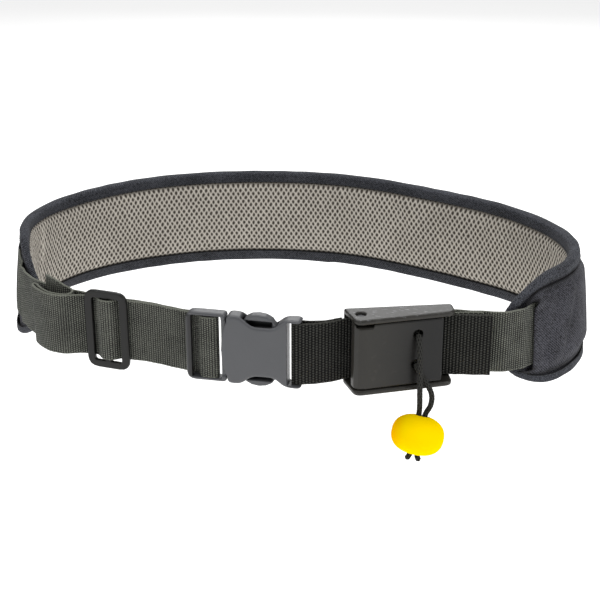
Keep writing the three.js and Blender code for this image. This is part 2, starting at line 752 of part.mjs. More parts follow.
const slotWide = CLIP_THICK + 6;
let clipBody = solid(extruded(roundedShape(
  [...clipEdge(-1), ...clipEdge(1).toReversed()]), CLIP_THICK, CLIP_EDGE).rotateX(Math.PI / 2));
const cavity = CLIP_THICK / 2 - CLIP_WALL;
clipBody = clipBody.subtract(block(CLIP_SPLIT - 5, CLIP_HOLLOW.to, -cavity, cavity,
  -CLIP_HOLLOW.half, CLIP_HOLLOW.half));
clipBody = clipBody.subtract(block(CLIP_SLOT_FROM, CLIP_RIGHT + 5, -slotWide, slotWide,
  -CLIP_SLOT_HALF, CLIP_SLOT_HALF));
clipBody = clipBody.add(block(CLIP_BAR.from, CLIP_BAR.to, CLIP_BAR.back - CLIP_BAR.thick / 2,
  CLIP_BAR.back + CLIP_BAR.thick / 2, -CLIP_SLOT_HALF - BAR_ROOT, CLIP_SLOT_HALF + BAR_ROOT));
for (const side of [-1, 1]) {
  const lip = extruded(clipMouth(), CLIP_WALL, CLIP_BOW.edge);
  lip.translate(0, 0, side * (CLIP_THICK - CLIP_WALL) / 2);
  clipBody = clipBody.add(solid(lip.rotateX(Math.PI / 2)));
  const [low, high] = [side * WING_GAP.low, side * WING_GAP.high].sort((a, b) => a - b);
  clipBody = clipBody.subtract(block(WING_GAP.from, WING_GAP.to, -cavity, cavity, low, high));
}
add("clip_socket", settle(shown(clipBody), CLIP_PLACE), "slatePlastic");

// the half that plugs in: a frame with two bars, and two springy prongs
const plugBlank = solid(extruded(roundedShape([
  { x: CLIP_LEFT, y: -CLIP_HALF_HEIGHT, round: 7 },
  { x: CLIP_SPLIT - GAP, y: -CLIP_HALF_HEIGHT, round: 3 },
  { x: CLIP_SPLIT - GAP, y: CLIP_HALF_HEIGHT, round: 3 },
  { x: CLIP_LEFT, y: CLIP_HALF_HEIGHT, round: 7 },
]), MALE_THICK, MALE_EDGE).rotateX(Math.PI / 2));
let clipPlug = plugBlank.subtract(block(CLIP_LEFT - 5, MALE_SLOT_TO, -slotWide, slotWide,
  -CLIP_SLOT_HALF, CLIP_SLOT_HALF));
for (const bar of [MALE_OUTER_BAR, MALE_INNER_BAR]) {
  const across = block(bar.from, bar.to, bar.back - bar.thick / 2, bar.back + bar.thick / 2,
    -CLIP_SLOT_HALF - BAR_ROOT, CLIP_SLOT_HALF + BAR_ROOT);
  clipPlug = clipPlug.add(across.intersect(plugBlank));
}
for (const side of [-1, 1]) {
  const [back, front] = [side * (cavity - 2 * GAP), side * slotWide].sort((a, b) => a - b);
  clipPlug = clipPlug.subtract(block(CLIP_SPLIT - CLIP_BOW.reach - 2 * GAP, CLIP_SPLIT, back, front,
    -CLIP_HOLLOW.half, CLIP_HOLLOW.half));
  const outline = new THREE.Shape(PRONG.map((p) => new THREE.Vector2(p.along, side * p.height)));
  clipPlug = clipPlug.add(solid(extruded(outline, 2 * cavity - 1, 1).rotateX(Math.PI / 2)));
}
clipPlug = clipPlug.add(block(MALE_TONGUE.from, MALE_TONGUE.to, -cavity + 1, cavity - 1,
  -MALE_TONGUE.half, MALE_TONGUE.half));
add("clip_plug", settle(shown(clipPlug), CLIP_PLACE), "slatePlastic");

// cam buckle: a channel of a back plate and two wedge flanges
const flangeShape = roundedShape([
  { x: 0, y: 0, round: 3 },
  { x: 6, y: -CAM_DEEP_END, round: 6 },
  { x: CAM_LENGTH, y: -CAM_SHALLOW_END, round: 6 },
  { x: CAM_LENGTH, y: 0, round: 3 },
]);
const flangeMiddle = CAM_HALF_HEIGHT - CAM_FLANGE / 2;
let camBody = block(0.6, CAM_LENGTH - 0.6, -CAM_PLATE, 0, -CAM_HALF_HEIGHT + 1, CAM_HALF_HEIGHT - 1);
for (const side of [-1, 1]) {
  const flange = extruded(flangeShape, CAM_FLANGE, CAM_EDGE);
  flange.translate(0, 0, side * flangeMiddle);
  camBody = camBody.add(solid(flange));
}
camBody = camBody.subtract(block(CAM_SLOT.from, CAM_SLOT.to, -CAM_PLATE - 2, 2,
  -CAM_SLOT.half, CAM_SLOT.half));
camBody = camBody.subtract(rod(PIN_HOLE, 80, 20, PIVOT.along, -PIVOT.out, 0));
add("cam_body", settle(shown(camBody), CAM_PLACE), "blackPlastic");

add("cam_pin", settle(shown(
  rod(PIN_RADIUS, 2 * PIN_HALF_LENGTH, 20, PIVOT.along, -PIVOT.out, 0)), CAM_PLACE), "blackPlastic");

// lever: rolled over at the pivot, thin at its free end, two holes for the pull cord
const leverShape = new THREE.Shape(LEVER_SECTION.map((p) => new THREE.Vector2(p.along, -p.out)));
let lever = solid(extruded(leverShape, 2 * LEVER_HALF_HEIGHT, LEVER_EDGE));
lever = lever.subtract(rod(PIN_HOLE, 80, 20, PIVOT.along, -PIVOT.out, 0));
for (const hole of LEVER_HOLES) {
  lever = lever.subtract(rod(LEVER_HOLE, 14, 16, hole.along, -17, hole.height, true));
}
add("cam_lever", settle(shown(lever), CAM_PLACE), "blackPlastic");

// pull cord: two strands from the lever's holes through the ball, and the turn behind the plate
const lean = radians(BALL_PLACE.lean);
const tilt = radians(BALL_PLACE.tilt);

function inBall(aside, up) {
  const raised = up * Math.cos(tilt);
  return {
    along: BALL_PLACE.along + aside * Math.cos(lean) + raised * Math.sin(lean),
    out: BALL_PLACE.out - up * Math.sin(tilt),
    height: BALL_PLACE.height - aside * Math.sin(lean) + raised * Math.cos(lean),
  };
}

const CORDS = {
  pull_cord_upper: [
    { along: 53.6, out: 18.4, height: 14.9 },
    { along: 53.7, out: 22.2, height: 11.4 },
    { along: 53.9, out: 24.8, height: 3 },
    { along: 54.3, out: 26.6, height: -13 },
    { along: 54.8, out: 25.9, height: -30 },
    { along: 55.4, out: 24.5, height: -41 },
    inBall(-2.5, 16),
    inBall(-2.4, 0),
    inBall(-2.5, -13),
    inBall(-3.3, -16.6),
    inBall(-4.9, -19.8),
  ],
  pull_cord_lower: [
    { along: 52.6, out: 18.3, height: -9.1 },
    { along: 53.3, out: 21.2, height: -11.6 },
    { along: 56.3, out: 22, height: -18 },
    { along: 61.5, out: 22.5, height: -26 },
    { along: 64.6, out: 23, height: -34 },
    { along: 64, out: 23.5, height: -42 },
    inBall(2.5, 16),
    inBall(2.4, 0),
    inBall(2.5, -13),
    inBall(3.4, -16.4),
    inBall(5.6, -19.4),
  ],
  cord_turn: [
    { along: 53.6, out: 16.2, height: 14.9 },
    { along: 53.6, out: 13.8, height: 14 },
    { along: 53.5, out: 12.4, height: 10.5 },
    { along: 53.1, out: 12.1, height: 3 },
    { along: 52.7, out: 12.4, height: -4.6 },
    { along: 52.6, out: 13.8, height: -8.2 },
    { along: 52.6, out: 16.2, height: -9.1 },
  ],
};

function cordShape() {
  const shape = new THREE.Shape();
  for (let side = 0; side < CORD_SIDES; side += 1) {
    const turn = 2 * Math.PI * side / CORD_SIDES;
    if (side === 0) shape.moveTo(CORD_RADIUS, 0);
    else shape.lineTo(CORD_RADIUS * Math.cos(turn), CORD_RADIUS * Math.sin(turn));
  }
  shape.closePath();
  return shape;
}

for (const [name, route] of Object.entries(CORDS)) {
  const path = new THREE.CatmullRomCurve3(route.map((p) => {
    const plan = placed(CAM_PLACE, p.along, p.out);
    return new THREE.Vector3(plan.x, plan.y, p.height);
  }), false, "centripetal");
  const steps = name === "cord_turn" ? CORD_STEPS / 2 : CORD_STEPS;
  const geometry = new THREE.ExtrudeGeometry(cordShape(), { steps, extrudePath: path, bevelEnabled: false });
  geometry.deleteAttribute("normal");
  geometry.deleteAttribute("uv");
  add(name, mergeVertices(geometry, 1e-4), "darkCord");
}

// drilled toggle ball, leaning as it hangs, with its top tilted back
const ballProfile = [];
const boreTurn = Math.acos(BALL_BORE / BALL_RADIUS);
for (let step = 0; step <= 10; step += 1) {
  const turn = THREE.MathUtils.lerp(-boreTurn, boreTurn, step / 10);
  ballProfile.push(new THREE.Vector2(BALL_RADIUS * Math.cos(turn), BALL_HALF_HEIGHT * Math.sin(turn)));
}
ballProfile.push(ballProfile[0].clone());
const ball = new THREE.LatheGeometry(ballProfile, 24);
ball.rotateX(Math.PI / 2 - tilt);
ball.rotateY(lean);
const ballPlan = placed({ x: 0, y: 0, turn: CAM_PLACE.turn }, BALL_PLACE.along, BALL_PLACE.out);
ball.rotateZ(radians(CAM_PLACE.turn));
ball.translate(CAM_PLACE.x + ballPlan.x, CAM_PLACE.y + ballPlan.y, BALL_PLACE.height);
ball.deleteAttribute("normal");
ball.deleteAttribute("uv");
add("toggle_ball", mergeVertices(ball, 1e-4), "yellowBall");

export default belt;
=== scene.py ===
# Quick release waist belt: the looks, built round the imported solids. Metres, Z up, front towards -Y.
import math

import bmesh
import bpy
import numpy as np
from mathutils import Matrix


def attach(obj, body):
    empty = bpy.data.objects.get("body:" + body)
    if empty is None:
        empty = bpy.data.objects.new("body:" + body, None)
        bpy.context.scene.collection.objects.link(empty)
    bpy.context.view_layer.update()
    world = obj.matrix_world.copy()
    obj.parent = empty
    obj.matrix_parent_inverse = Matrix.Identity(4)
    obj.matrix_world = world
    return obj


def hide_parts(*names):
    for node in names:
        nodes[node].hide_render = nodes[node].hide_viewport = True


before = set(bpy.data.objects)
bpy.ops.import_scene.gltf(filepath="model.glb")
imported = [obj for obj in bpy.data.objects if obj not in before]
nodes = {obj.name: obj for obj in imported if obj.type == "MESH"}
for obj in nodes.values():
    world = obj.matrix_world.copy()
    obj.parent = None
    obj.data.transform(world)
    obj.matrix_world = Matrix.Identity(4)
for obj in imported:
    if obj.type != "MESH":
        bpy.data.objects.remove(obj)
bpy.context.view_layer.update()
scene = bpy.context.scene
print("frame:", len(nodes), "nodes")

view = {"place": (0.2201, -1.0023, 0.4119), "turnDeg": 11.87, "dipDeg": 23.0, "lens": 78.0, "sensor": 36.0}


def makeCamera():
    data = bpy.data.cameras.new("photoCamera")
    data.lens = view["lens"]
    data.sensor_width = view["sensor"]
    camera = bpy.data.objects.new("photoCamera", data)
    camera.location = view["place"]
    camera.rotation_euler = (math.radians(90 - view["dipDeg"]), 0, math.radians(view["turnDeg"]))
    scene.collection.objects.link(camera)
    scene.camera = camera


makeCamera()
print("camera placed")


# small numpy tools

def ease(low, high, value):
    # 0 at low, 1 at high, with a smooth start and stop
    share = np.clip((value - low) / (high - low), 0, 1)
    return share * share * (3 - 2 * share)


def band(edges, value):
    # rises from the first edge to the second and falls from the third to the fourth
    return ease(edges[0], edges[1], value) * (1 - ease(edges[2], edges[3], value))


def bell(middle, width, value):
    # 1 in the middle, falling off on both sides over the width
    return np.exp(-((value - middle) / width) ** 2)


def fading(size, reach, far):
    # the size where far is 0, dying away over the reach
    return size * np.exp(-far / reach)


def mixed(low, high, share):
    # low where the share is 0, high where it is 1
    return low + (high - low) * share


def waves(distance, height, rows):
    # sum of slanting sine waves; a row holds the turn by distance, the turn by height, the start and the size
    return sum(size * np.sin(distance * far + height * up + start) for far, up, start, size in rows)


def unit(vectors):
    return vectors / np.linalg.norm(vectors, axis=-1, keepdims=True)


def lengthAlong(line):
    # running length at each point of a line
    return np.concatenate([[0], np.cumsum(np.linalg.norm(np.diff(line, axis=0), axis=1))])


def evenly(line, step):
    # the same line with its points an even step apart
    along = lengthAlong(line)
    at = np.linspace(0, along[-1], max(3, round(along[-1] / step) + 1))
    return np.stack([np.interp(at, along, axis) for axis in line.T], axis=1), at


def smoothRoute(points, step, parts=24):
    # centripetal Catmull-Rom curve: between two points a cubic whose end slopes come from both neighbours,
    # with each stretch timed by the square root of its length
    points = np.asarray(points, float)
    full = np.vstack([2 * points[0] - points[1], points, 2 * points[-1] - points[-2]])
    time = np.sqrt(np.linalg.norm(np.diff(full, axis=0), axis=1))[:, None]
    t0, t1, t2 = time[:-2], time[1:-1], time[2:]
    before, a, b, beyond = full[:-3], full[1:-2], full[2:-1], full[3:]
    leave = ((a - before) / t0 - (b - before) / (t0 + t1) + (b - a) / t1) * t1
    arrive = ((b - a) / t1 - (beyond - a) / (t1 + t2) + (beyond - b) / t2) * t1
    s = np.linspace(0, 1, parts, endpoint=False)[None, :, None]
    a, b, leave, arrive = a[:, None], b[:, None], leave[:, None], arrive[:, None]
    line = a * (2 * s**3 - 3 * s**2 + 1) + b * (3 * s**2 - 2 * s**3)
    line = line + leave * (s**3 - 2 * s**2 + s) + arrive * (s**3 - s**2)
    return evenly(np.vstack([line.reshape(-1, points.shape[1]), points[-1]]), step)


def gridFaces(rows, cols, loop=False):
    # quads of a grid whose columns go round a section, as row and column numbers of their corners;
    # a loop joins its last row to the first, otherwise rungs across the first and last section close it
    i, j = np.meshgrid(np.arange(rows - (not loop)), np.arange(cols), indexing="ij")
    i, j = i.ravel(), j.ravel()
    around = np.stack([np.stack([i, i, i + 1, i + 1], 1), np.stack([j, j + 1, j + 1, j], 1)], 2)
    if loop:
        return around
    k = np.arange(cols // 2 - 1)
    rungs = np.stack([k + 1, k, cols - 1 - k, cols - 2 - k], 1)
    first = np.stack([np.zeros_like(rungs), rungs], 2)
    last = np.stack([np.full_like(rungs, rows - 1), rungs[:, ::-1]], 2)
    return np.concatenate([around, first, last])


def meshFrom(name, points, quads, uv=None):
    # loose arrays into a mesh; a closed shape that comes out inside out is turned round
    a, b, c, d = (points[quads[:, k]] for k in range(4))
    if (np.cross(b - a, c - a) * a).sum() + (np.cross(c - a, d - a) * a).sum() < 0:
        quads = quads[:, ::-1]
        uv = None if uv is None else uv[:, ::-1]
    mesh = bpy.data.meshes.new(name)
    mesh.vertices.add(len(points))
    mesh.vertices.foreach_set("co", points.astype(np.float32).ravel())
    mesh.loops.add(quads.size)
    mesh.loops.foreach_set("vertex_index", quads.astype(np.int32).ravel())
    mesh.polygons.add(len(quads))
    mesh.polygons.foreach_set("loop_start", np.arange(0, quads.size, 4, dtype=np.int32))
    mesh.polygons.foreach_set("use_smooth", np.ones(len(quads), bool))
    mesh.update(calc_edges=True)
    if uv is not None:
        layer = mesh.uv_layers.new(name="flat")
        layer.data.foreach_set("uv", uv.astype(np.float32).ravel())
    return mesh


def surfaceMesh(name, grid, uv=None, loop=False):
    rows, cols = grid.shape[:2]
    faces = gridFaces(rows, cols, loop)
    quads = (faces[..., 0] % rows) * cols + faces[..., 1] % cols
    cornerUv = None if uv is None else uv[faces[..., 0], faces[..., 1]]
    return meshFrom(name, grid.reshape(-1, 3), quads, cornerUv)


def pointsOf(mesh):
    points = np.empty(len(mesh.vertices) * 3, np.float32)
    mesh.vertices.foreach_get("co", points)
    return points.reshape(-1, 3).astype(float)


def shell(front, back):
    # the front's columns, then the back's in reverse, so that a ring of columns goes round both
    return np.concatenate([front, back[:, ::-1]], 1)


def shellUv(distance, height):
    # flat places of both faces, with the first column once more to close the ring
    flat = np.stack(np.broadcast_arrays(distance, height), 2)
    return np.concatenate([shell(flat, flat), flat[:, :1]], 1)


def addPiece(name, mesh, look, body, stands=()):
    # a mesh with its finish, riding on a body, in place of the nodes it stands for
    piece = bpy.data.objects.new(name, mesh)
    scene.collection.objects.link(piece)
    mesh.materials.clear()
    mesh.materials.append(looks[look])
    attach(piece, body)
    if stands:
        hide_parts(*stands)
    return piece


def addAttribute(mesh, name, values):
    layer = mesh.attributes.new(name, "FLOAT", "POINT")
    layer.data.foreach_set("value", values.astype(np.float32).ravel())


# shader maths on sockets

class Wire:
    # one output of a node tree; sums and products of wires become Math nodes
    def __init__(self, tree, socket):
        self.tree = tree
        self.socket = socket

    def node(self, kind, settings, values, out=0):
        made = self.tree.nodes.new(kind)
        for key, value in settings.items():
            setattr(made, key, value)
        for key, value in values.items():
            if isinstance(value, Wire):
                self.tree.links.new(value.socket, made.inputs[key])
            else:
                made.inputs[key].default_value = value
        return Wire(self.tree, made.outputs[out])

    def math(self, operation, *values):
        return self.node("ShaderNodeMath", {"operation": operation}, dict(enumerate(values)))

    def __add__(self, other):
        return self.math("ADD", self, other)

    def __radd__(self, other):
        return self.math("ADD", other, self)

    def __sub__(self, other):
        return self.math("SUBTRACT", self, other)

    def __rsub__(self, other):
        return self.math("SUBTRACT", other, self)

    def __mul__(self, other):
        return self.math("MULTIPLY", self, other)

    def __rmul__(self, other):
        return self.math("MULTIPLY", other, self)

    def cosine(self, period):
        return self.math("COSINE", self * (2 * math.pi / period))

    def between(self, low, high):
        settings = {"interpolation_type": "SMOOTHSTEP"}
        return self.node("ShaderNodeMapRange", settings, {0: self, 1: low, 2: high})

    def axis(self, number):
        return self.node("ShaderNodeSeparateXYZ", {}, {0: self}, number)

    def stretch(self, x, y):
        settings = {"operation": "MULTIPLY"}
        return self.node("ShaderNodeVectorMath", settings, {0: self, 1: (x, y, 1.0)})

    def noise(self, scale, detail=2.0):
        return self.node("ShaderNodeTexNoise", {}, {"Vector": self, "Scale": scale, "Detail": detail})

    def mix(self, low, high):
        # inputs 6 and 7 and output 2 are the colours
        settings = {"data_type": "RGBA"}
        return self.node("ShaderNodeMix", settings, {0: self, 6: low, 7: high}, 2)

    def bump(self, depth, strength=1.0):
        values = {"Height": self, "Distance": depth, "Strength": strength}
        return self.node("ShaderNodeBump", {}, values)

    def attribute(self, name):
        # output 2 is the value, 0 on a piece without it
        return self.node("ShaderNodeAttribute", {"attribute_name": name}, {}, 2)


def tint(red, green, blue):
    # a colour as it is seen on a screen, 0 to 255, as light
    seen = np.array([red, green, blue]) / 255
    light = np.where(seen <= 0.04045, seen / 12.92, ((seen + 0.055) / 1.055) ** 2.4)
    return (*(float(value) for value in light), 1.0)


looks = {}


def makeLook(name, build, fixed):
    # build gives the wires of what varies over the surface, fixed what is the same all over
    look = bpy.data.materials.new(name)
    look.use_nodes = True
    tree = look.node_tree
    shader = tree.nodes["Principled BSDF"]
    place = Wire(tree, tree.nodes.new("ShaderNodeTexCoord").outputs["Object"])
    flat = place.node("ShaderNodeUVMap", {"uv_map": "flat"}, {})
    for socket, value in fixed.items():
        shader.inputs[socket].default_value = value
    for socket, wire in build(place, flat).items():
        tree.links.new(wire.socket, shader.inputs[socket])
    looks[name] = look


# waist line of the pad's outer face, and places on it
waist = {
    "reach": 0.183,
    "waves": [(1, 0.002, -0.0002), (2, 0.0416, 0.0004), (3, 0.0032, -0.0039), (4, 0.0096, 0.0015),
              (5, 0.0024, -0.0029)],
    "rightDeg": -28.0,
    "leftDeg": 207.5,
    "spareDeg": 3.0,
    "points": 4001,
    "flare": 0.05,
    "flareFrom": -0.105,
    "flareFull": -0.06,
    "sideFlare": 0.06,
    "sideFrom": 0.15,
    "sideFull": 0.22,
}


def waistLine():
    # reach from the middle by angle, as a short sum of waves; distance is 0 at the pad's right tip
    ends = (waist["rightDeg"] - waist["spareDeg"], waist["leftDeg"] + waist["spareDeg"])
    angle = np.radians(np.linspace(*ends, waist["points"]))
    reach = waist["reach"] + sum(c * np.cos(n * angle) + s * np.sin(n * angle) for n, c, s in waist["waves"])
    line = np.stack([reach * np.cos(angle), reach * np.sin(angle)], 1)
    ahead = unit(np.gradient(line, axis=0))
    along = lengthAlong(line)
    right, left = np.interp(np.radians([waist["rightDeg"], waist["leftDeg"]]), angle, along)
    return {"line": line, "ahead": ahead, "distance": along - right, "padLength": left - right}


waistMade = waistLine()
padLength = waistMade["padLength"]


def flareAt(x, y):
    # lean of the belt: lower edge further out than the upper, most at the sides and none near the tips
    lean = waist["flare"] + waist["sideFlare"] * ease(waist["sideFrom"], waist["sideFull"], np.abs(x))
    return lean * ease(waist["flareFrom"], waist["flareFull"], y)


def onPad(distance, height, out):
    # a point at a distance along the waist line, up by height and out from the wearer
    x, y = (np.interp(distance, waistMade["distance"], waistMade["line"][:, k]) for k in (0, 1))
    ax, ay = (np.interp(distance, waistMade["distance"], waistMade["ahead"][:, k]) for k in (0, 1))
    stand = out - flareAt(x, y) * height
    return np.stack(np.broadcast_arrays(x + stand * ay, y - stand * ax, height), -1)


def wayOut(distance, height):
    # one step away from the wearer, square to the waist line
    return onPad(distance, height, 1.0) - onPad(distance, height, 0.0)


pad = {
    "half": 0.0428,
    "endRound": 0.056,
    "endFull": 0.75,
    "fullThick": 0.009,
    "edgeThick": 0.005,
    "edgeRise": 0.018,
    "endNarrow": 0.45,
    "endThin": 0.4,
    "sideFrom": 0.05,
    "sideTo": 0.17,
    "sideNarrow": 0.22,
    "sideThin": 0.32,
    "legLow": 0.0098,
    "legHigh": 0.0069,
}


def fromTip(distance):
    return np.minimum(distance, padLength - distance)


def endShare(distance):
    # 0 along the straight part, rising to 1 at a tip
    return np.maximum(0, (pad["endRound"] - fromTip(distance)) / pad["endRound"])


def insideEdge(distance, height):
    # 0 on the pad's edge, most along its middle; its ends are half ellipses
    return pad["half"] * (1 - np.hypot(endShare(distance), height / pad["half"]))


def edgeHeight(distance):
    # half the pad's height there, following the ellipse round each end
    return pad["half"] * np.sqrt(np.maximum(0, 1 - endShare(distance) ** 2))


def intoEnd(distance):
    # 0 along the straight part, 1 well round a tip
    return ease(0, pad["endFull"], endShare(distance))


def nearEnd(distance):
    # 1 near the tips, fading along the wearer's sides
    return 1 - ease(pad["sideFrom"], pad["sideTo"], fromTip(distance))


def lessAtEnds(distance, end, side):
    # 1 along the back, less by one share round the tips and by the other along the wearer's sides
    return (1 - end * intoEnd(distance)) * (1 - side * nearEnd(distance))


def legShare(distance):
    # how wide the binding's legs are
    return lessAtEnds(distance, pad["endNarrow"], pad["sideNarrow"])


def innerLeg(height):
    # how far the binding reaches over the lining, less along the upper edge than along the lower
    return mixed(pad["legLow"], pad["legHigh"], ease(-pad["half"], pad["half"], height))


def padThick(distance, height):
    # thin at the edge, full a little way in, and thinner round the tips and along the sides
    rise = ease(-pad["edgeRise"], pad["edgeRise"], insideEdge(distance, height)) * 2 - 1
    thick = mixed(pad["edgeThick"], pad["fullThick"], np.maximum(0, rise))
    return thick * lessAtEnds(distance, pad["endThin"], pad["sideThin"])


def endBow(v, inset):
    # how far in the rounded end starts at a share v of the half height
    return inset + (pad["endRound"] - inset) * (1 - np.sqrt(np.maximum(0, 1 - v * v)))


print("pad length", round(padLength, 4))


# places of the cam buckle and the glide, then the ball and its cord
camPlace = {"x": 0.0695, "y": -0.1312, "turnDeg": 18.4}
glidePlace = {"x": -0.113, "y": -0.1388, "turnDeg": -7.5}


def placed(place, points):
    # from along a turned piece and out from the wearer to x and y; a third column, the height, stays
    turn = math.radians(place["turnDeg"])
    along, out, *height = np.asarray(points, float).T
    x = place["x"] + along * math.cos(turn) + out * math.sin(turn)
    y = place["y"] + along * math.sin(turn) - out * math.cos(turn)
    return np.stack([x, y, *height], 1)


ball = {
    "radius": 0.02,
    "half": 0.015,
    "full": 0.84,
    "bore": 0.0052,
    "along": 0.0539,
    "out": 0.0282,
    "height": -0.064,
    "leanDeg": 15.0,
    "tiltDeg": 18.0,
    "rim": 0.0006,
    "rimDrop": 0.0007,
    "outlinePoints": 65,
    "borePoints": 16,
    "sides": 96,
    "tone": tint(255, 219, 0),
    # painted shade towards the ball's left side: its tone, and how far in it reaches
    "leftShadeTone": tint(252, 184, 0),
    "leftTo": 0.35,
    "broadScale": 40.0,
    "scuffScale": 210.0,
    "scuffEdge": (0.6, 0.85),
}
cord = {
    "radius": 0.0021,
    "sides": 24,
    "step": 0.0004,
    "braid": 0.00012,
    "strands": 6,
    "pitch": 0.0052,
    "endRound": 0.6,
    "endLeast": 0.16,
    "dark": tint(4, 4, 4),
    "pale": tint(56, 56, 53),
    "fuzzScale": 1700.0,
    "depth": 0.0004,
}


# finishes; where a piece has a shade attribute, that share of its colour is painted shade, dark where shade
# falls
paintedShadeTone = tint(9, 9, 10)
meshLook = {
    "alongPitch": 0.00495,
    "acrossPitch": 0.0073,
    "sway": 0.0026,
    "swayScale": 120.0,
    "yarnScale": 2300.0,
    "patchScale": 24.0,
    "threadEdge": (-1.0, -0.55),
    "holeEdge": (0.18, 0.6),
    "depth": 0.0006,
    "strand": tint(120, 115, 107),
    "knot": tint(204, 198, 188),
    "hole": tint(64, 59, 54),
}


def spacerMesh(place, flat):
    # two slanting cosine waves: holes where both peak, on a lattice with every second row half a step on,
    # and pale threads along the troughs of either; the brighter thread ridges are painted highlight and the
    # darkening towards each hole painted shade
    sway = (flat.noise(meshLook["swayScale"]) - 0.5) * meshLook["sway"]
    along = (flat.axis(0) + sway) * (2 * math.pi / meshLook["alongPitch"])
    across = (flat.axis(1) - sway) * (2 * math.pi / meshLook["acrossPitch"])
    rising = along.math("COSINE", along - across)
    falling = along.math("COSINE", along + across)
    lattice = (rising + falling) * 0.5
    thread = 1 - rising.math("MINIMUM", rising, falling).between(*meshLook["threadEdge"])
    squeeze = place.attribute("pucker")
    hole = (lattice - squeeze * 1.1).between(*meshLook["holeEdge"])
    yarn = place.noise(meshLook["yarnScale"], 3.0)
    shade = place.noise(meshLook["patchScale"])
    # yarn and patch noise are the yarn's own tone; thread and lattice add painted highlight on the ridges and
    # painted shade towards the holes
    pale = yarn * 0.5 + shade * 0.3 + thread * 0.36 - lattice * 0.25 + squeeze * 0.3 - 0.26
    strand = pale.mix(meshLook["strand"], meshLook["knot"])
    # painted shade: the colour goes to the hole's dark tone where the lining's shade attribute says so
    colour = place.attribute("shade").mix(hole.mix(strand, meshLook["hole"]), meshLook["hole"])
    height = (1 - hole) * 0.7 + yarn * 0.3
    return {"Base Color": colour, "Normal": height.bump(meshLook["depth"], 0.9)}


clothWeave = {
    "pitch": 0.0009,
    "slim": 0.3,
    "twill": 2.4,
    "speckScale": 1100.0,
    "patchScale": 34.0,
    "paleEdge": (0.1, 1.0),
    "depth": 0.0004,
}


def clothLook(dark, pale, wear):
    # weave on flat coordinates: short threads both ways, each of its own shade, a fine slanting twill,
    # and soft patches of paler wear
    def build(place, flat):
        pitch, slim = clothWeave["pitch"], clothWeave["slim"]
        along = flat.stretch(slim / pitch, 1 / pitch).noise(1.0, 1.0)
        across = flat.stretch(1 / pitch, slim / pitch).noise(1.0, 1.0)
        weave = flat.axis(0).cosine(2 * pitch) * flat.axis(1).cosine(2 * pitch) * 0.5 + 0.5
        thread = along * weave + across * (1 - weave)
        twill = (flat.axis(0) + flat.axis(1)).cosine(clothWeave["twill"] * pitch) * 0.5 + 0.5
        speck = place.noise(clothWeave["speckScale"], 3.0)
        patch = place.noise(clothWeave["patchScale"], 4.0)
        shade = thread * 1.4 + twill * 0.35 + speck * 1.2 + patch * wear - 0.97 - wear * 0.5
        colour = shade.between(*clothWeave["paleEdge"]).mix(tint(*dark), tint(*pale))
        height = thread + twill * 0.4 + speck * 0.5
        # painted shade: the colour goes to the dark shade tone where the piece's shade attribute says so
        return {"Base Color": place.attribute("shade").mix(colour, paintedShadeTone),
                "Normal": height.bump(clothWeave["depth"], 0.9)}
    return build


# rib and bead are the weave's pitches along and across, lift how far the free end rises
straps = {
    "greyWebbing": {"node": "grey_webbing", "rib": 0.0019, "bead": 0.0017, "wear": 0.4, "lift": 0.009,
                    "dark": tint(12, 14, 10), "pale": tint(116, 118, 108)},
    "blackWebbing": {"node": "black_webbing", "rib": 0.0025, "bead": 0.0021, "wear": 0.2, "lift": 0.0,
                     "dark": tint(1, 1, 1), "pale": tint(66, 66, 62)},
}
webWeave = {
    "threadScale": 1300.0,
    "patchScale": 60.0,
    "paleEdge": (0.22, 1.0),
    "selvedge": (0.0237, 0.0246),
    "depth": 0.0007,
}


def webLook(strap):
    # cross ribs along the strap with beads on them, each rib's beads half a step from the next rib's,
    # and a smooth paler selvedge
    def build(place, flat):
        far, level = flat.axis(0), flat.axis(1)
        ribs = far.cosine(strap["rib"]) * 0.5 + 0.5
        beads = far.cosine(2 * strap["rib"]) * level.cosine(strap["bead"]) * 0.5 + 0.5
        thread = place.noise(webWeave["threadScale"])
        patch = place.noise(webWeave["patchScale"], 3.0)
        lift = ribs * 0.45 + beads * 0.55
        shade = lift + thread * 0.6 + patch * strap["wear"] - 0.3 - strap["wear"] * 0.5
        woven = shade.between(*webWeave["paleEdge"]).mix(strap["dark"], strap["pale"])
        selvedge = level.math("ABSOLUTE", level).between(*webWeave["selvedge"])
        return {"Base Color": (selvedge * 0.75).mix(woven, strap["pale"]),
                "Normal": (lift + thread * 0.3).bump(webWeave["depth"])}
    return build


plastic = {
    "broadScale": 22.0,
    "scuffScale": 160.0,
    "scuffEdge": (0.58, 0.8),
    "scratchScale": 420.0,
    "scratchEdge": (0.56, 0.74),
    "scratchTone": tint(148, 149, 154),
    "depth": 0.00004,
}


def plasticLook(dark, pale, grain, rough, scuffs=0.25):
    # moulded plastic: fine grain in the bump, broad faint change in colour and gloss, small pale scuffs,
    # scratches on rubbed faces, and painted shade where the piece's shade attribute says so
    def build(place, flat):
        broad = place.noise(plastic["broadScale"], 3.0)
        fine = place.noise(grain)
        scuff = place.noise(plastic["scuffScale"], 5.0).between(*plastic["scuffEdge"])
        colour = (broad * 0.7 + scuff * scuffs).mix(tint(*dark), tint(*pale))
        scratch = place.stretch(0.5, 1.6).noise(plastic["scratchScale"], 4.0).between(*plastic["scratchEdge"])
        colour = (scratch * place.attribute("wearAndShade") * 0.6).mix(colour, plastic["scratchTone"])
        # painted shade: the colour goes to the dark shade tone where the shade attribute says so
        colour = place.attribute("shade").mix(colour, paintedShadeTone)
        gloss = broad * 0.12 + scuff * 0.12 + (rough - 0.09)
        return {"Base Color": colour, "Roughness": gloss, "Normal": fine.bump(plastic["depth"], 0.5)}
    return build


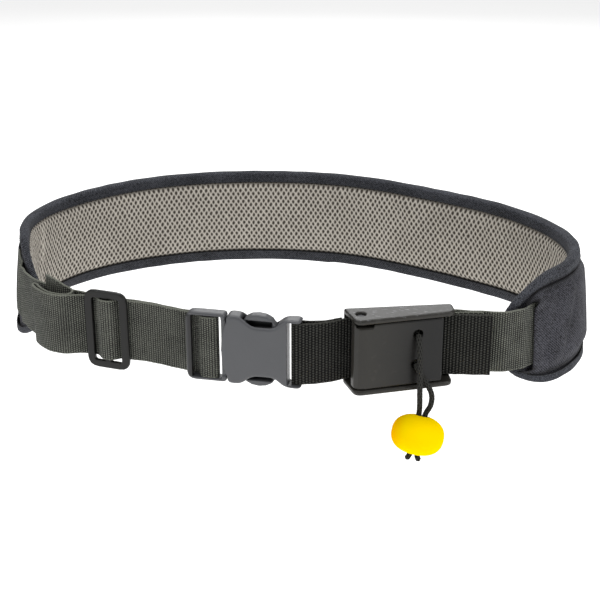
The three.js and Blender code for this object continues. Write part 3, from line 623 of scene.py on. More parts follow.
def cordBraid(place, flat):
    # braid: two sets of slanting strands, the higher one shown
    around = flat.axis(1) * (2 * math.pi * cord["strands"])
    slant = flat.axis(0) * (2 * math.pi / cord["pitch"])
    one = around.math("COSINE", around + slant)
    other = around.math("COSINE", around - slant)
    lift = one.math("MAXIMUM", one, other) * 0.5 + 0.5
    fuzz = place.noise(cord["fuzzScale"])
    colour = (lift * 0.8 + fuzz * 0.6 - 0.3).mix(cord["dark"], cord["pale"])
    return {"Base Color": colour, "Normal": (lift + fuzz * 0.3).bump(cord["depth"], 0.9)}


def ballPlastic(place, flat):
    # painted shade: a deeper orange towards its left side; faint scuffs
    broad = place.noise(ball["broadScale"])
    scuff = place.noise(ball["scuffScale"], 4.0).between(*ball["scuffEdge"])
    middle = float(placed(camPlace, [(ball["along"], ball["out"])])[0, 0])
    left = 1 - place.axis(0).between(middle - ball["radius"], middle - ball["leftTo"] * ball["radius"])
    colour = (left * 0.9 + broad * 0.2 - scuff * 0.1).mix(ball["tone"], ball["leftShadeTone"])
    return {"Base Color": colour, "Roughness": broad * 0.1 + scuff * 0.1 + 0.22}


def threadLook(place, flat):
    return {"Base Color": place.noise(3000.0).mix(tint(16, 17, 19), tint(66, 68, 72))}


def steelLook(place, flat):
    scratch = place.noise(900.0, 3.0)
    return {"Base Color": scratch.mix(tint(40, 40, 42), tint(80, 80, 83)), "Roughness": scratch * 0.2 + 0.32}


def floorLook(place, flat):
    return {"Base Color": place.noise(6.0).mix(tint(250, 250, 250), tint(254, 254, 254))}


softSheen = {"Roughness": 0.88, "Sheen Weight": 0.05, "Sheen Roughness": 0.5, "Specular IOR Level": 0.15}
greyShine = {"Roughness": 0.75, "Sheen Weight": 0.08, "Specular IOR Level": 0.3}
blackShine = {"Roughness": 0.7, "Specular IOR Level": 0.12}
darkGloss = {"Specular IOR Level": 0.27}
paperGlow = {"Roughness": 1.0, "Emission Color": (1, 1, 1, 1), "Emission Strength": 0.47}
makeLook("spacerMesh", spacerMesh, {"Roughness": 0.9, "Specular IOR Level": 0.15})
makeLook("bindingTape", clothLook((14, 15, 18), (84, 86, 93), 0.5), softSheen)
makeLook("sleeveCloth", clothLook((11, 11, 13), (80, 80, 87), 0.6), softSheen)
makeLook("padCloth", clothLook((18, 18, 21), (72, 72, 78), 0.6), softSheen)
makeLook("greyWebbing", webLook(straps["greyWebbing"]), greyShine)
makeLook("blackWebbing", webLook(straps["blackWebbing"]), blackShine)
makeLook("slatePlastic", plasticLook((68, 69, 72), (84, 85, 88), 2500.0, 0.4), {})
makeLook("blackPlastic", plasticLook((16, 16, 15), (30, 30, 28), 2500.0, 0.33), darkGloss)
makeLook("camPlastic", plasticLook((34, 33, 30), (56, 54, 50), 2200.0, 0.36, 0.5), darkGloss)
makeLook("pinSteel", steelLook, {"Metallic": 1.0})
makeLook("braidedCord", cordBraid, {"Roughness": 0.85, "Specular IOR Level": 0.2})
makeLook("yellowPlastic", ballPlastic, {"Specular IOR Level": 0.0})
makeLook("sewingThread", threadLook, {"Roughness": 0.7})
makeLook("floorPaper", floorLook, paperGlow)
print("finishes:", len(looks))


# pull cord: two strands from the lever's holes through the ball, and the turn behind the lever;
# routes go along the cam buckle, out from the wearer and up

def inBall(aside, up, front=0.0):
    # from the ball's own axes to along, out and height: its top is tilted back, then it leans aside
    lean, tilt = math.radians(ball["leanDeg"]), math.radians(ball["tiltDeg"])
    raised = up * math.cos(tilt) + front * math.sin(tilt)
    along = ball["along"] + aside * math.cos(lean) + raised * math.sin(lean)
    out = ball["out"] + front * math.cos(tilt) - up * math.sin(tilt)
    return along, out, ball["height"] - aside * math.sin(lean) + raised * math.cos(lean)


cordRoutes = {
    "pullCordUpper": [
        (0.0536, 0.0184, 0.0149), (0.0537, 0.0222, 0.0114), (0.0539, 0.0248, 0.003), (0.0543, 0.0266, -0.013),
        (0.0548, 0.0259, -0.03), (0.0554, 0.0245, -0.041), inBall(-0.0025, 0.016), inBall(-0.0024, 0),
        inBall(-0.0025, -0.013), inBall(-0.0033, -0.0166), inBall(-0.0049, -0.0198),
    ],
    "pullCordLower": [
        (0.0526, 0.0183, -0.0091), (0.0533, 0.0212, -0.0116), (0.0563, 0.022, -0.018),
        (0.0615, 0.0225, -0.026), (0.0646, 0.023, -0.034), (0.064, 0.0235, -0.042), inBall(0.0025, 0.016),
        inBall(0.0024, 0), inBall(0.0025, -0.013), inBall(0.0034, -0.0164), inBall(0.0056, -0.0194),
    ],
    "cordTurn": [
        (0.0536, 0.0162, 0.0149), (0.0536, 0.0138, 0.014), (0.0535, 0.0124, 0.0105), (0.0531, 0.0121, 0.003),
        (0.0527, 0.0124, -0.0046), (0.0526, 0.0138, -0.0082), (0.0526, 0.0162, -0.0091),
    ],
}
cordNodes = {"pullCordUpper": "pull_cord_upper", "pullCordLower": "pull_cord_lower", "cordTurn": "cord_turn"}


def cordMesh(name, line, along):
    # round section carried along the route; slanting strands both ways raise its surface, ends drawn in
    ahead = unit(np.gradient(line, axis=0))
    turn = math.radians(camPlace["turnDeg"])
    side = unit(np.cross(ahead, (math.cos(turn), math.sin(turn), 0.0)))
    other = np.cross(ahead, side)
    around = np.linspace(0, 2 * math.pi, cord["sides"], endpoint=False)[None, :]
    slant = 2 * math.pi * along[:, None] / cord["pitch"]
    strands = np.maximum(np.cos(cord["strands"] * around + slant), np.cos(cord["strands"] * around - slant))
    toEnd = np.minimum(along, along[-1] - along)[:, None]
    drawn = np.sqrt(np.clip(toEnd / (cord["endRound"] * cord["radius"]), cord["endLeast"], 1))
    reach = (cord["radius"] - cord["braid"] + cord["braid"] * strands) * drawn
    ring = np.cos(around)[..., None] * side[:, None] + np.sin(around)[..., None] * other[:, None]
    uv = np.stack(np.meshgrid(along, np.linspace(0, 1, cord["sides"] + 1), indexing="ij"), 2)
    return surfaceMesh(name, line[:, None] + reach[..., None] * ring, uv)


def makeBall():
    # lathe: the outline is an ellipse with fuller shoulders, its sine and cosine raised to a power below 1,
    # cut off at the bore, whose rims are rounded; then tilted, leaned and placed
    drill = math.acos((ball["bore"] / ball["radius"]) ** (1 / ball["full"]))
    turn = np.linspace(-drill, drill, ball["outlinePoints"])
    across = np.cos(turn) ** ball["full"]
    rise = np.sign(turn) * np.abs(np.sin(turn)) ** ball["full"]
    outer = np.stack([ball["radius"] * across, ball["half"] * rise], 1)
    top = outer[-1, 1] - ball["rimDrop"]
    bore = np.full(ball["borePoints"], ball["bore"] - ball["rim"])
    profile = np.vstack([outer, np.stack([bore, np.linspace(top, -top, ball["borePoints"])], 1)])
    angle = np.linspace(0, 2 * math.pi, ball["sides"], endpoint=False)
    aside, front = profile[:, :1] * np.cos(angle), profile[:, :1] * np.sin(angle)
    spot = np.stack(inBall(aside, profile[:, 1:], front), 2)
    grid = placed(camPlace, spot.reshape(-1, 3)).reshape(spot.shape)
    mesh = surfaceMesh("toggleBall", grid, loop=True)
    return addPiece("toggleBall", mesh, "yellowPlastic", "release_lever", ["toggle_ball"])


def makeCords():
    # the ball, then a braided tube along each route
    toggle = makeBall()
    for name, route in cordRoutes.items():
        line, along = smoothRoute(placed(camPlace, route), cord["step"])
        mesh = cordMesh(name, line, along)
        piece = addPiece(name, mesh, "braidedCord", "release_lever", [cordNodes[name]])
        if name != "cordTurn":
            [toggle] if name == "pullCordUpper" else []
        print("cord", name, round(float(along[-1]), 4))


makeCords()


# stitches: one row is many small arched tubes laid end to end on a line
stitch = {
    "long": 0.0029,
    "gap": 0.0011,
    "radius": 0.00028,
    "arch": 0.00012,
    "taper": 0.75,
    "rings": 5,
    "sides": 6,
}


def stitchMesh(name, rows):
    # each row gives points and the way out of the cloth there; a tube's radius is a flat arch along it
    points, quads = [], []
    faces = gridFaces(stitch["rings"], stitch["sides"])
    local = faces[..., 0] * stitch["sides"] + faces[..., 1] % stitch["sides"]
    t = np.linspace(0, 1, stitch["rings"])
    turn = np.linspace(0, 2 * math.pi, stitch["sides"], endpoint=False)
    count = 0
    for line, out in rows:
        along = lengthAlong(line)
        start = np.arange(0, along[-1] - stitch["long"], stitch["long"] + stitch["gap"])
        at = start[:, None] + t * stitch["long"]
        here, up = (np.stack([np.interp(at, along, axis) for axis in rail.T], -1) for rail in (line, out))
        up = unit(up)
        ahead = unit(here[:, -1:] - here[:, :1])
        side = np.cross(ahead, up)
        thick = stitch["radius"] * (1 - stitch["taper"] * np.abs(2 * t - 1) ** 3)
        lift = stitch["arch"] * (1 - (2 * t - 1) ** 2)
        ringUp = (lift[:, None] + thick[:, None] * np.sin(turn))[None, ..., None] * up[:, :, None]
        ringSide = (thick[:, None] * np.cos(turn))[None, ..., None] * side[:, :, None]
        made = (here[:, :, None] + ringUp + ringSide).reshape(-1, 3)
        first = count + np.arange(len(start)) * stitch["rings"] * stitch["sides"]
        quads.append((local[None] + first[:, None, None]).reshape(-1, 4))
        points.append(made)
        count += len(made)
    return meshFrom(name, np.vstack(points), np.vstack(quads))


# pad and its mesh lining: the cushion is swollen once as cloth, and both faces take their stand from that
swell = {
    "cols": 170,
    "rows": 17,
    "sewn": 0.0096,
    "pressure": 4.0,
    "shrink": -0.015,
    "frames": 20,
    "cap": {"outer": 0.00065, "inner": 0.0017},
}


def padGrid(cols, rows):
    # distance and height over the whole pad, rows closer together at its edges
    u = np.linspace(0, 1, cols)[:, None]
    v = np.sin(np.linspace(-math.pi / 2, math.pi / 2, rows))[None]
    start = endBow(v, 0)
    distance = start + (padLength - 2 * start) * u
    return distance, np.broadcast_to(pad["half"] * v, distance.shape)


def swollenFaces():
    # closed cushion on a coarse grid with its sewn rim pinned, blown up as cloth; how far each face moved out
    distance, height = padGrid(swell["cols"], swell["rows"])
    outer = onPad(distance, height, 0.0)
    inner = onPad(distance, height, -padThick(distance, height))
    start = shell(outer, inner)
    work = bpy.data.objects.new("padSwell", surfaceMesh("padSwell", start))
    scene.collection.objects.link(work)
    inside = insideEdge(distance, height)
    sewn = shell(inside, inside).ravel() < swell["sewn"]
    group = work.vertex_groups.new(name="sewn")
    group.add(np.flatnonzero(sewn).tolist(), 1.0, "REPLACE")
    cloth = work.modifiers.new("swell", "CLOTH")
    cloth.settings.use_pressure = True
    cloth.settings.uniform_pressure_force = swell["pressure"]
    cloth.settings.shrink_min = swell["shrink"]
    cloth.settings.vertex_group_mass = "sewn"
    cloth.settings.effector_weights.gravity = 0
    for number in range(1, swell["frames"] + 1):
        scene.frame_set(number)
    done = work.evaluated_get(bpy.context.evaluated_depsgraph_get()).to_mesh()
    moved = pointsOf(done).reshape(start.shape) - start
    bpy.data.objects.remove(work)
    scene.frame_set(1)
    outward = unit(wayOut(distance, height))
    reach = {"outer": (moved[:, :swell["rows"]] * outward).sum(-1),
             "inner": -(moved[:, swell["rows"]:][:, ::-1] * outward).sum(-1)}
    print("swell", {side: round(float(far.max()), 5) for side, far in reach.items()})
    return {side: np.clip(far, 0, swell["cap"][side]) for side, far in reach.items()}


swollen = swollenFaces()


def swellAt(side, distance, height):
    # the coarse face read between its four nearest points
    v = np.clip(height / pad["half"], -1, 1)
    start = endBow(v, 0)
    across = (np.arcsin(v) / math.pi + 0.5) * (swell["rows"] - 1)
    along = np.clip((distance - start) / (padLength - 2 * start), 0, 1) * (swell["cols"] - 1)
    i = np.minimum(along.astype(int), swell["cols"] - 2)
    j = np.minimum(across.astype(int), swell["rows"] - 2)
    a, b, face = along - i, across - j, swollen[side]
    low = face[i, j] * (1 - b) + face[i, j + 1] * b
    high = face[i + 1, j] * (1 - b) + face[i + 1, j + 1] * b
    return low * (1 - a) + high * a


lining = {
    "inset": 0.0028,
    "rowsPerHole": 3,
    "colsPerHole": 4,
    "endCols": 40,
    "low": 0.0009,
    "full": 0.0027,
    "riseFrom": -0.0004,
    "riseTo": 0.0046,
    "dimple": 0.0006,
    "back": 0.0003,
    # painted shade under the binding's edge: how dark, and the reach where it ends
    "shade": 0.85,
    "shadeTo": 0.0032,
    "spare": 0.0002,
    "swell": 0.6,
    "dimpleFrom": 0.3,
    "areaShare": 0.97,
    "wander": [(61, 40, 0, 0.0003), (143, -60, 0, 0.00025)],
    "puckerFade": 0.02,
    "puckerShown": 0.75,
    # ridges where it buckles: distance from the right tip, slant, width, stand and the level of the middle
    "puckers": [(0.064, 0.12, 0.0032, 0.0012, 0.012), (0.086, -0.1, 0.0026, 0.0008, -0.01),
                (0.76, 0.05, 0.003, 0.0012, -0.014), (0.735, -0.06, 0.0026, 0.0009, 0.012),
                (0.785, 0.1, 0.003, 0.001, 0.004)],
}


def liningGrid():
    # columns lie on the holes' pitch along the middle and fan out to the rounded ends
    step = meshLook["alongPitch"] / lining["colsPerHole"]
    rowStep = meshLook["acrossPitch"] / 2 / lining["rowsPerHole"]
    halfRows = int((pad["half"] - lining["inset"]) / rowStep)
    height = np.arange(-halfRows, halfRows + 1) * rowStep
    first = math.ceil(pad["endRound"] / step) * step
    last = math.floor((padLength - pad["endRound"]) / step) * step
    middle = np.arange(round(first / step), round(last / step) + 1) * step
    v = height / (halfRows * rowStep + lining["spare"])
    bow = endBow(v, lining["inset"])[None]
    t = np.linspace(0, 1, lining["endCols"], endpoint=False)[:, None]
    right = bow + (first - bow) * t
    left = (padLength - bow) + (last - (padLength - bow)) * t
    distance = np.vstack([right, np.repeat(middle[:, None], len(height), 1), left[::-1]])
    return distance, np.broadcast_to(height, distance.shape)


def makeLining():
    # stand off the pad: low under the binding, then full and swollen, with ridges where it buckles
    # and pitted holes
    distance, height = liningGrid()
    reach = insideEdge(distance, height) / legShare(distance) - innerLeg(height)
    rise = ease(lining["riseFrom"], lining["riseTo"], reach)
    pucker, ridge = np.zeros_like(distance), np.zeros_like(distance)
    for at, slant, width, tall, level in lining["puckers"]:
        buckle = bell(at + slant * height, width, distance) * bell(level, lining["puckerFade"], height)
        pucker = np.maximum(pucker, lining["puckerShown"] * buckle)
        ridge = ridge + tall * buckle
    lattice = np.cos(2 * math.pi * distance / meshLook["alongPitch"])
    lattice = lattice * np.cos(2 * math.pi * height / meshLook["acrossPitch"])
    stand = mixed(lining["low"] * legShare(distance), lining["full"], rise)
    swelling = lining["swell"] * swellAt("inner", distance, height)
    stand = stand + rise * (swelling + ridge + waves(distance, height, lining["wander"]))
    stand = stand - rise * lining["dimple"] * ease(lining["dimpleFrom"], 1, lattice) * (1 - pucker)
    thick = padThick(distance, height)
    grid = shell(onPad(distance, height, -thick - stand), onPad(distance, height, -thick - lining["back"]))
    mesh = surfaceMesh("meshLining", grid, shellUv(distance, height))
    # painted shade: dark where the lining tucks under the binding, fading as it rises
    paintedShade = lining["shade"] * (1 - ease(lining["riseFrom"], lining["shadeTo"], reach))
    addAttribute(mesh, "pucker", shell(pucker, pucker))
    addAttribute(mesh, "shade", shell(paintedShade, paintedShade))
    piece = addPiece("meshLining", mesh, "spacerMesh", "belt", ["mesh_lining"])
    size = (2 * (pad["half"] - lining["inset"]), padLength - 2 * lining["inset"])
    lining["areaShare"] * size[0] * size[1]
    print("lining", grid.shape)


cover = {"cols": 280, "rows": 40, "dent": 0.0002, "dentTurns": (83, 97), "puffFrom": 0.01, "seat": 0.0003}


def makePad():
    # closed cushion between the outer and the inner face, the outer one swollen between its sewn edges
    distance, height = padGrid(cover["cols"], cover["rows"])
    far, up = cover["dentTurns"]
    puff = swellAt("outer", distance, height) + cover["dent"] * np.sin(distance * far) * np.cos(height * up)
    puff = puff * ease(0, cover["puffFrom"], insideEdge(distance, height)) - cover["seat"]
    grid = shell(onPad(distance, height, puff), onPad(distance, height, -padThick(distance, height)))
    mesh = surfaceMesh("padCover", grid, shellUv(distance, height))
    piece = addPiece("padCover", mesh, "padCloth", "belt", ["back_pad"])
    print("pad", grid.shape)


makePad()
makeLining()


# edge binding
binding = {
    "step": 0.0025,
    "outerLeg": 0.0073,
    "outerGap": 0.0016,
    "innerGap": 0.0023,
    "round": 0.0016,
    "half": 0.00045,
    "legPoints": 9,
    "arcPoints": 11,
    "rimPoints": (400, 90),
    "hemShare": 0.02,
    "hemLeast": 0.35,
    "seamInset": 0.0018,
    "seamWidth": 0.0007,
    "seamDip": 0.00025,
    "seamAcross": 0.024,
    "weaveAcross": 0.026,
    "gather": 0.00035,
    "gatherTurns": (780, 331, 1.3),
    "ripple": 0.00016,
    "rippleTurns": (190, 2, 37, 9),
    "join": 0.0005,
    "joinEdges": (0.36, 0.3612, 0.376, 0.39),
    # painted shade along both sewn edges and over the inner leg
    "tuck": 0.9,
    "tuckShare": 0.075,
    "innerPaintedShade": 0.34,
    "innerShadeShare": (0.6, 0.76),
}


def rimLine(step):
    # the pad's outline as distance and height, anticlockwise seen from inside, evenly spaced
    runPoints, endPoints = binding["rimPoints"]
    straight = np.linspace(pad["endRound"], padLength - pad["endRound"], runPoints)
    turn = np.linspace(-math.pi / 2, math.pi / 2, endPoints)[1:-1]
    leftEnd = np.stack([padLength - pad["endRound"] * (1 - np.cos(turn)), pad["half"] * np.sin(turn)], 1)
    rightEnd = np.stack([pad["endRound"] * (1 - np.cos(turn)), -pad["half"] * np.sin(turn)], 1)
    low = np.stack([straight, np.full_like(straight, -pad["half"])], 1)
    high = np.stack([straight[::-1], np.full_like(straight, pad["half"])], 1)
    line, along = evenly(np.vstack([low, leftEnd, high, rightEnd, low[:1]]), step)
    return line[:-1], along[:-1]


def bindingPath(rim, away):
    # centre of the tape across its width: outer leg, half ellipse round the edge, inner leg over the lining
    edge = padThick(rim[:, 0], rim[:, 1])[:, None]
    legs = np.linspace(0, 1, binding["legPoints"], endpoint=False)[None]
    arc = np.linspace(math.pi / 2, -math.pi / 2, binding["arcPoints"])[None]
    narrow = legShare(rim[:, :1])
    top, foot = binding["outerGap"], -edge - binding["innerGap"] * narrow
    outerReach = -binding["outerLeg"] * (1 - legs) * narrow
    innerReach = -innerLeg(rim[:, 1:]) * (legs + 1 / binding["legPoints"]) * narrow
    arcReach = np.repeat(binding["round"] * np.cos(arc), len(rim), 0)
    reach = np.concatenate([outerReach, arcReach, innerReach], 1)
    distance = rim[:, :1] + away[:, :1] * innerReach
    height = rim[:, 1:] + away[:, 1:] * innerReach
    innerOut = -padThick(distance, height) - binding["innerGap"] * narrow
    arcOut = (top + foot) / 2 + (top - foot) / 2 * np.sin(arc)
    out = np.concatenate([np.full_like(outerReach, top), arcOut, innerOut], 1)
    return reach, out


def makeBinding():
    # tape of even thickness carried round the rim; gathers where it turns the ends, and a lapped join
    rim, along = rimLine(binding["step"])
    ahead = unit(np.roll(rim, -1, 0) - np.roll(rim, 1, 0))
    away = np.stack([ahead[:, 1], -ahead[:, 0]], 1)
    reach, out = bindingPath(rim, away)
    across = unit(np.stack([np.gradient(reach, axis=1), np.gradient(out, axis=1)], 2))
    far = along[:, None]
    width = np.linspace(0, 1, reach.shape[1])[None]
    toHem = np.minimum(width, 1 - width)
    short, long, start = binding["gatherTurns"]
    gather = np.sin(far * short) * np.sin(far * long + start) * np.sin(math.pi * width) ** 0.5
    fast, sway, slow, up = binding["rippleTurns"]
    ripple = np.sin(far * fast + sway * np.sin(far * slow)) * np.cos(width * up)
    lift = binding["gather"] * endShare(rim[:, :1]) ** 2 * gather + binding["ripple"] * ripple
    lift = lift + binding["join"] * band(binding["joinEdges"], far)
    seam = bell(binding["seamInset"], binding["seamWidth"], toHem * binding["seamAcross"])
    seam = binding["seamDip"] * seam
    tape = binding["half"] * np.clip(toHem / binding["hemShare"], binding["hemLeast"], 1) ** 0.5
    sides = []
    for offset in (lift - seam + tape, lift - seam - tape):
        at = reach - across[..., 1] * offset
        stand = out + across[..., 0] * offset
        sides.append(onPad(rim[:, :1] + away[:, :1] * at, rim[:, 1:] + away[:, 1:] * at, stand))
    total = float(along[-1] + binding["step"])
    strip = shellUv(width, width)[0, :, 0] * binding["weaveAcross"]
    uv = np.stack(np.meshgrid(np.append(along, total), strip, indexing="ij"), 2)
    grid = shell(*sides)
    mesh = surfaceMesh("edgeBinding", grid, uv, loop=True)
    # painted shade: the inner leg darker except round the tips, and both sewn edges dark
    wearAndShade = binding["innerPaintedShade"] * ease(*binding["innerShadeShare"], width) * (1 - intoEnd(rim[:, :1]))
    paintedShade = np.maximum(wearAndShade, binding["tuck"] * (1 - ease(0, binding["tuckShare"], toHem)))
    addAttribute(mesh, "shade", shell(paintedShade, paintedShade))
    piece = addPiece("edgeBinding", mesh, "bindingTape", "belt", ["edge_binding"])
    rows = []
    for hem in (1, -2):
        outward = np.sign(across[:, hem, :1]) * wayOut(rim[:, 0], rim[:, 1])
        rows.append([np.vstack([rail, rail[:1]]) for rail in (sides[0][:, hem], outward)])
    addPiece("bindingStitches", stitchMesh("bindingStitches", rows), "sewingThread", "belt")


makeBinding()


# sleeve on the pad's outer face
sleeve = {
    "rightInset": 0.029,
    "leftInset": 0.058,
    "step": 0.0022,
    "points": 44,
    "wall": 0.0009,
    "hem": 0.0352,
    "hemRoom": 0.0076,
    "hemLeast": 0.0279,
    "hemOut": 0.0014,
    "hemTips": (0.86, 0.99),
    "slope": (0.0238, 0.034),
    "tunnelOut": 0.0047,
    "crown": 0.0007,
    "crownHalf": 0.0262,
    "slack": 0.0004,
    "folds": [(96, 30, 0, 0.00045), (211, -75, 1.1, 0.00022), (61, -22, 0, 0.0003)],
    "mouthFolds": [(150, 60, 0.4, 0.0007)],
    "foldFade": 0.045,
    "pinch": 0.00018,
    "pinchTurn": 520,
    "pinchHem": (0.0005, 0.003),
    "seamAt": 0.0022,
    "seamWidth": 0.0006,
    "seamDip": 0.0003,
    "lip": 0.0007,
    "lipEdge": (0.007, 0.0085),
    "gapeFrom": (0.02, 0.028),
    # at the mouths, each with the reach it fades over
    "hemAhead": (0.012, 0.012),
    "gape": (0.0052, 0.009),
    "snugLeft": (0.002945, 0.03),
    "snugRight": (0.00171, 0.014),
    # painted shade on the inside face, lighter near the left mouth; then along the hems and on the hems
    # running on past the right mouth
    "paleLeft": (0.85, 0.012),
    "tuck": 0.92,
    "tuckHem": (0.0022, 0.0008),
    "aheadShade": 0.85,
    "aheadFade": (0.0005, 0.007),
    "aheadLevel": (0.025, 0.0275),
    # creases near the right mouth: distance from the tip, slant, width and depth
    "creases": [(0.047, 0.3, 0.0022, 0.0006), (0.062, -0.25, 0.0018, 0.0005), (0.071, 0.42, 0.0025, 0.0007),
                (0.088, -0.15, 0.002, 0.0005), (0.104, 0.35, 0.0024, 0.0006)],
}


def makeSleeve():
    # one cloth over the strap: flat hems, a step up, and a tunnel that bulges; folds fade away from its
    # mouths, the right one gapes at its upper corner with its hems running on, the left one lies close
    first, last = sleeve["rightInset"], padLength - sleeve["leftInset"]
    share = np.linspace(-1, 1, sleeve["points"])[None]
    distance = np.linspace(first, last, round((last - first) / sleeve["step"]))[:, None]
    toRight, toLeft = distance - first, last - distance
    distance = distance - fading(*sleeve["hemAhead"], toRight) * ease(*sleeve["hemTips"], np.abs(share))
    room = edgeHeight(distance) - sleeve["hemRoom"] * legShare(distance)
    hem = np.clip(room, sleeve["hemLeast"], sleeve["hem"])
    height = hem * share
    level = np.abs(height)
    toHem = hem - level
    step = 1 - ease(*sleeve["slope"], level)
    folds = waves(distance, height, sleeve["folds"])
    folds = folds + fading(waves(distance, height, sleeve["mouthFolds"]), sleeve["foldFade"], toRight)
    for at, slant, width, deep in sleeve["creases"]:
        folds = folds - deep * bell(at + slant * height, width, distance)
    crown = sleeve["crown"] * (1 - (level / sleeve["crownHalf"]) ** 2)
    lip = sleeve["lip"] * (1 - ease(*sleeve["lipEdge"], np.minimum(toRight, toLeft)))
    snug = fading(*sleeve["snugLeft"], toLeft) + fading(*sleeve["snugRight"], toRight)
    pinch = sleeve["pinch"] * np.sin(distance * sleeve["pinchTurn"]) * ease(*sleeve["pinchHem"], toHem)
    out = mixed(sleeve["hemOut"], sleeve["tunnelOut"], step) + pinch * (1 - step)
    out = out + step * (crown + folds + sleeve["slack"] + lip - snug)
    out = out - sleeve["seamDip"] * bell(sleeve["seamAt"], sleeve["seamWidth"], toHem)
    out = out + fading(*sleeve["gape"], toRight) * ease(*sleeve["gapeFrom"], height)
    outer = onPad(distance, height, out)
    grid = shell(outer, onPad(distance, height, out - sleeve["wall"]))
    mesh = surfaceMesh("webbingSleeve", grid, shellUv(distance, height))
    # painted shade: dark along the hems and where the hems run on past the right mouth; the inside face
    # painted dark, less so near the left mouth
    ahead = (1 - ease(*sleeve["aheadFade"], toRight)) * ease(*sleeve["aheadLevel"], level)
    paintedShade = np.maximum(sleeve["tuck"] * ease(*sleeve["tuckHem"], toHem), sleeve["aheadShade"] * ahead)
    within = np.broadcast_to(1 - fading(*sleeve["paleLeft"], toLeft), out.shape)
    addAttribute(mesh, "shade", shell(paintedShade, within))
    piece = addPiece("webbingSleeve", mesh, "sleeveCloth", "belt", ["webbing_sleeve"])
    float(last - first)
    rows = []
    for side in (-1, 1):
        at = side * (hem[:, 0] - sleeve["seamAt"])
        stand = np.array([np.interp(a, h, o) for a, h, o in zip(at, height, out)])
        rows.append((onPad(distance[:, 0], at, stand), wayOut(distance[:, 0], at)))
    addPiece("sleeveStitches", stitchMesh("sleeveStitches", rows), "sewingThread", "belt")
    print("sleeve", grid.shape)


makeSleeve()


# straps of webbing on edge along plan lines
web = {
    "half": 0.025,
    "thick": 0.0018,
    "edge": 0.0009,
    "facePoints": 10,
    "onPad": 0.0015,
    "overBinding": 0.0034,
    "overFrom": 0.018,
    "overTo": 0.029,
    "sag": -0.0021,
    "sagFrom": 0.085,
    "sagFull": 0.047,
    "sagFront": -0.105,
    "liftFrom": 0.034,
    "rib": 0.00012,
    "ribSteps": 4,
    "faceOut": 0.0005,
    "waver": 0.004,
    "waverTurn": 410,
    "throughPoints": 101,
    "throughEnds": (0.002, 0.012),
    "selvedgeDeg": (55, 0, -55),
}


def greyPlan():
    # looped on the cam buckle's end bar, through the sleeve, round the clip's inner bar, over the glide,
    # then folded twice
    camLoop = placed(camPlace, [
        (0.105, 0.0067), (0.097, 0.005), (0.09, 0.0043), (0.085, 0.0044), (0.081, 0.0045), (0.077, 0.00445),
        (0.0751, 0.0039), (0.0745, 0.0015), (0.0751, -0.0009), (0.077, -0.0014), (0.0835, -0.0013),
        (0.09, 0.0006), (0.0972, 0.0026), (0.1066, 0.0045)])
    right, left = web["throughEnds"]
    distance = np.linspace(right, padLength - left, web["throughPoints"])
    over = 1 - ease(web["overFrom"], web["overTo"], fromTip(distance))
    throughSleeve = onPad(distance, np.zeros_like(distance), web["onPad"] + web["overBinding"] * over)[:, :2]
    rearStrand = [
        (-0.1966, -0.0972), (-0.1806, -0.1116), (-0.16, -0.1212), (-0.138, -0.127), (-0.1238, -0.1312),
        (-0.1073, -0.1336), (-0.09, -0.1356), (-0.066, -0.1384), (-0.046, -0.1408), (-0.0375, -0.142),
        (-0.031, -0.1434), (-0.025, -0.1439), (-0.0232, -0.145), (-0.0228, -0.148), (-0.0233, -0.1503),
        (-0.0252, -0.15125), (-0.0322, -0.15125), (-0.0344, -0.1504), (-0.0376, -0.1459), (-0.0404, -0.1443),
        (-0.052, -0.1422), (-0.084, -0.1383)]
    overGlide = placed(glidePlace, [
        (0.014, -0.00305), (0.0108, -0.003), (0.0094, -0.0025), (0.0036, 0.0026), (0.002, 0.00305),
        (-0.002, 0.00305), (-0.0036, 0.0026), (-0.0094, -0.0025), (-0.0108, -0.003), (-0.015, -0.0031)])
    foldedEnd = [
        (-0.1355, -0.1339), (-0.143, -0.1364), (-0.152, -0.1383), (-0.1615, -0.1362), (-0.1702, -0.131),
        (-0.1772, -0.1244), (-0.1796, -0.1214), (-0.1792, -0.1192), (-0.1769, -0.1198),
        (-0.1744, -0.1226), (-0.1684, -0.1286), (-0.1604, -0.1335), (-0.1522, -0.1354),
        (-0.1466, -0.1346), (-0.1437, -0.1324), (-0.1433, -0.1296), (-0.1456, -0.1276),
        (-0.151, -0.1266), (-0.161, -0.1238), (-0.168, -0.1205)]
    return np.vstack([camLoop, throughSleeve, rearStrand, overGlide, foldedEnd])


def blackPlan():
    # sewn loop on the clip's end bar, then through the cam buckle to its free end
    loop = [
        (0.0692, -0.1341), (0.0646, -0.1365), (0.058, -0.1395), (0.05, -0.1415), (0.041, -0.1421),
        (0.037, -0.1422), (0.0352, -0.1432), (0.03475, -0.146), (0.0352, -0.1488), (0.037, -0.1498),
        (0.0404, -0.1495), (0.046, -0.1474)]
    run = placed(camPlace, [
        (-0.014, 0.0078), (-0.005, 0.0064), (0.003, 0.0046), (0.009, 0.00425), (0.055, 0.0043),
        (0.075, 0.0062), (0.088, 0.0086), (0.1, 0.0107), (0.111, 0.0126)])
    return np.vstack([loop, run])


def strapSection():
    # heights and outs round the webbing's section: two faces and two rounded selvedges
    face = np.linspace(-1, 1, web["facePoints"]) * (web["half"] - web["edge"])
    bend = np.radians(web["selvedgeDeg"])
    tip = web["half"] - web["edge"] + web["edge"] * np.cos(bend)
    height = np.concatenate([face, tip, face[::-1], -tip])
    out = np.concatenate([np.ones(len(face)), np.sin(bend), -np.ones(len(face)), -np.sin(bend)])
    return height, out * web["thick"] / 2


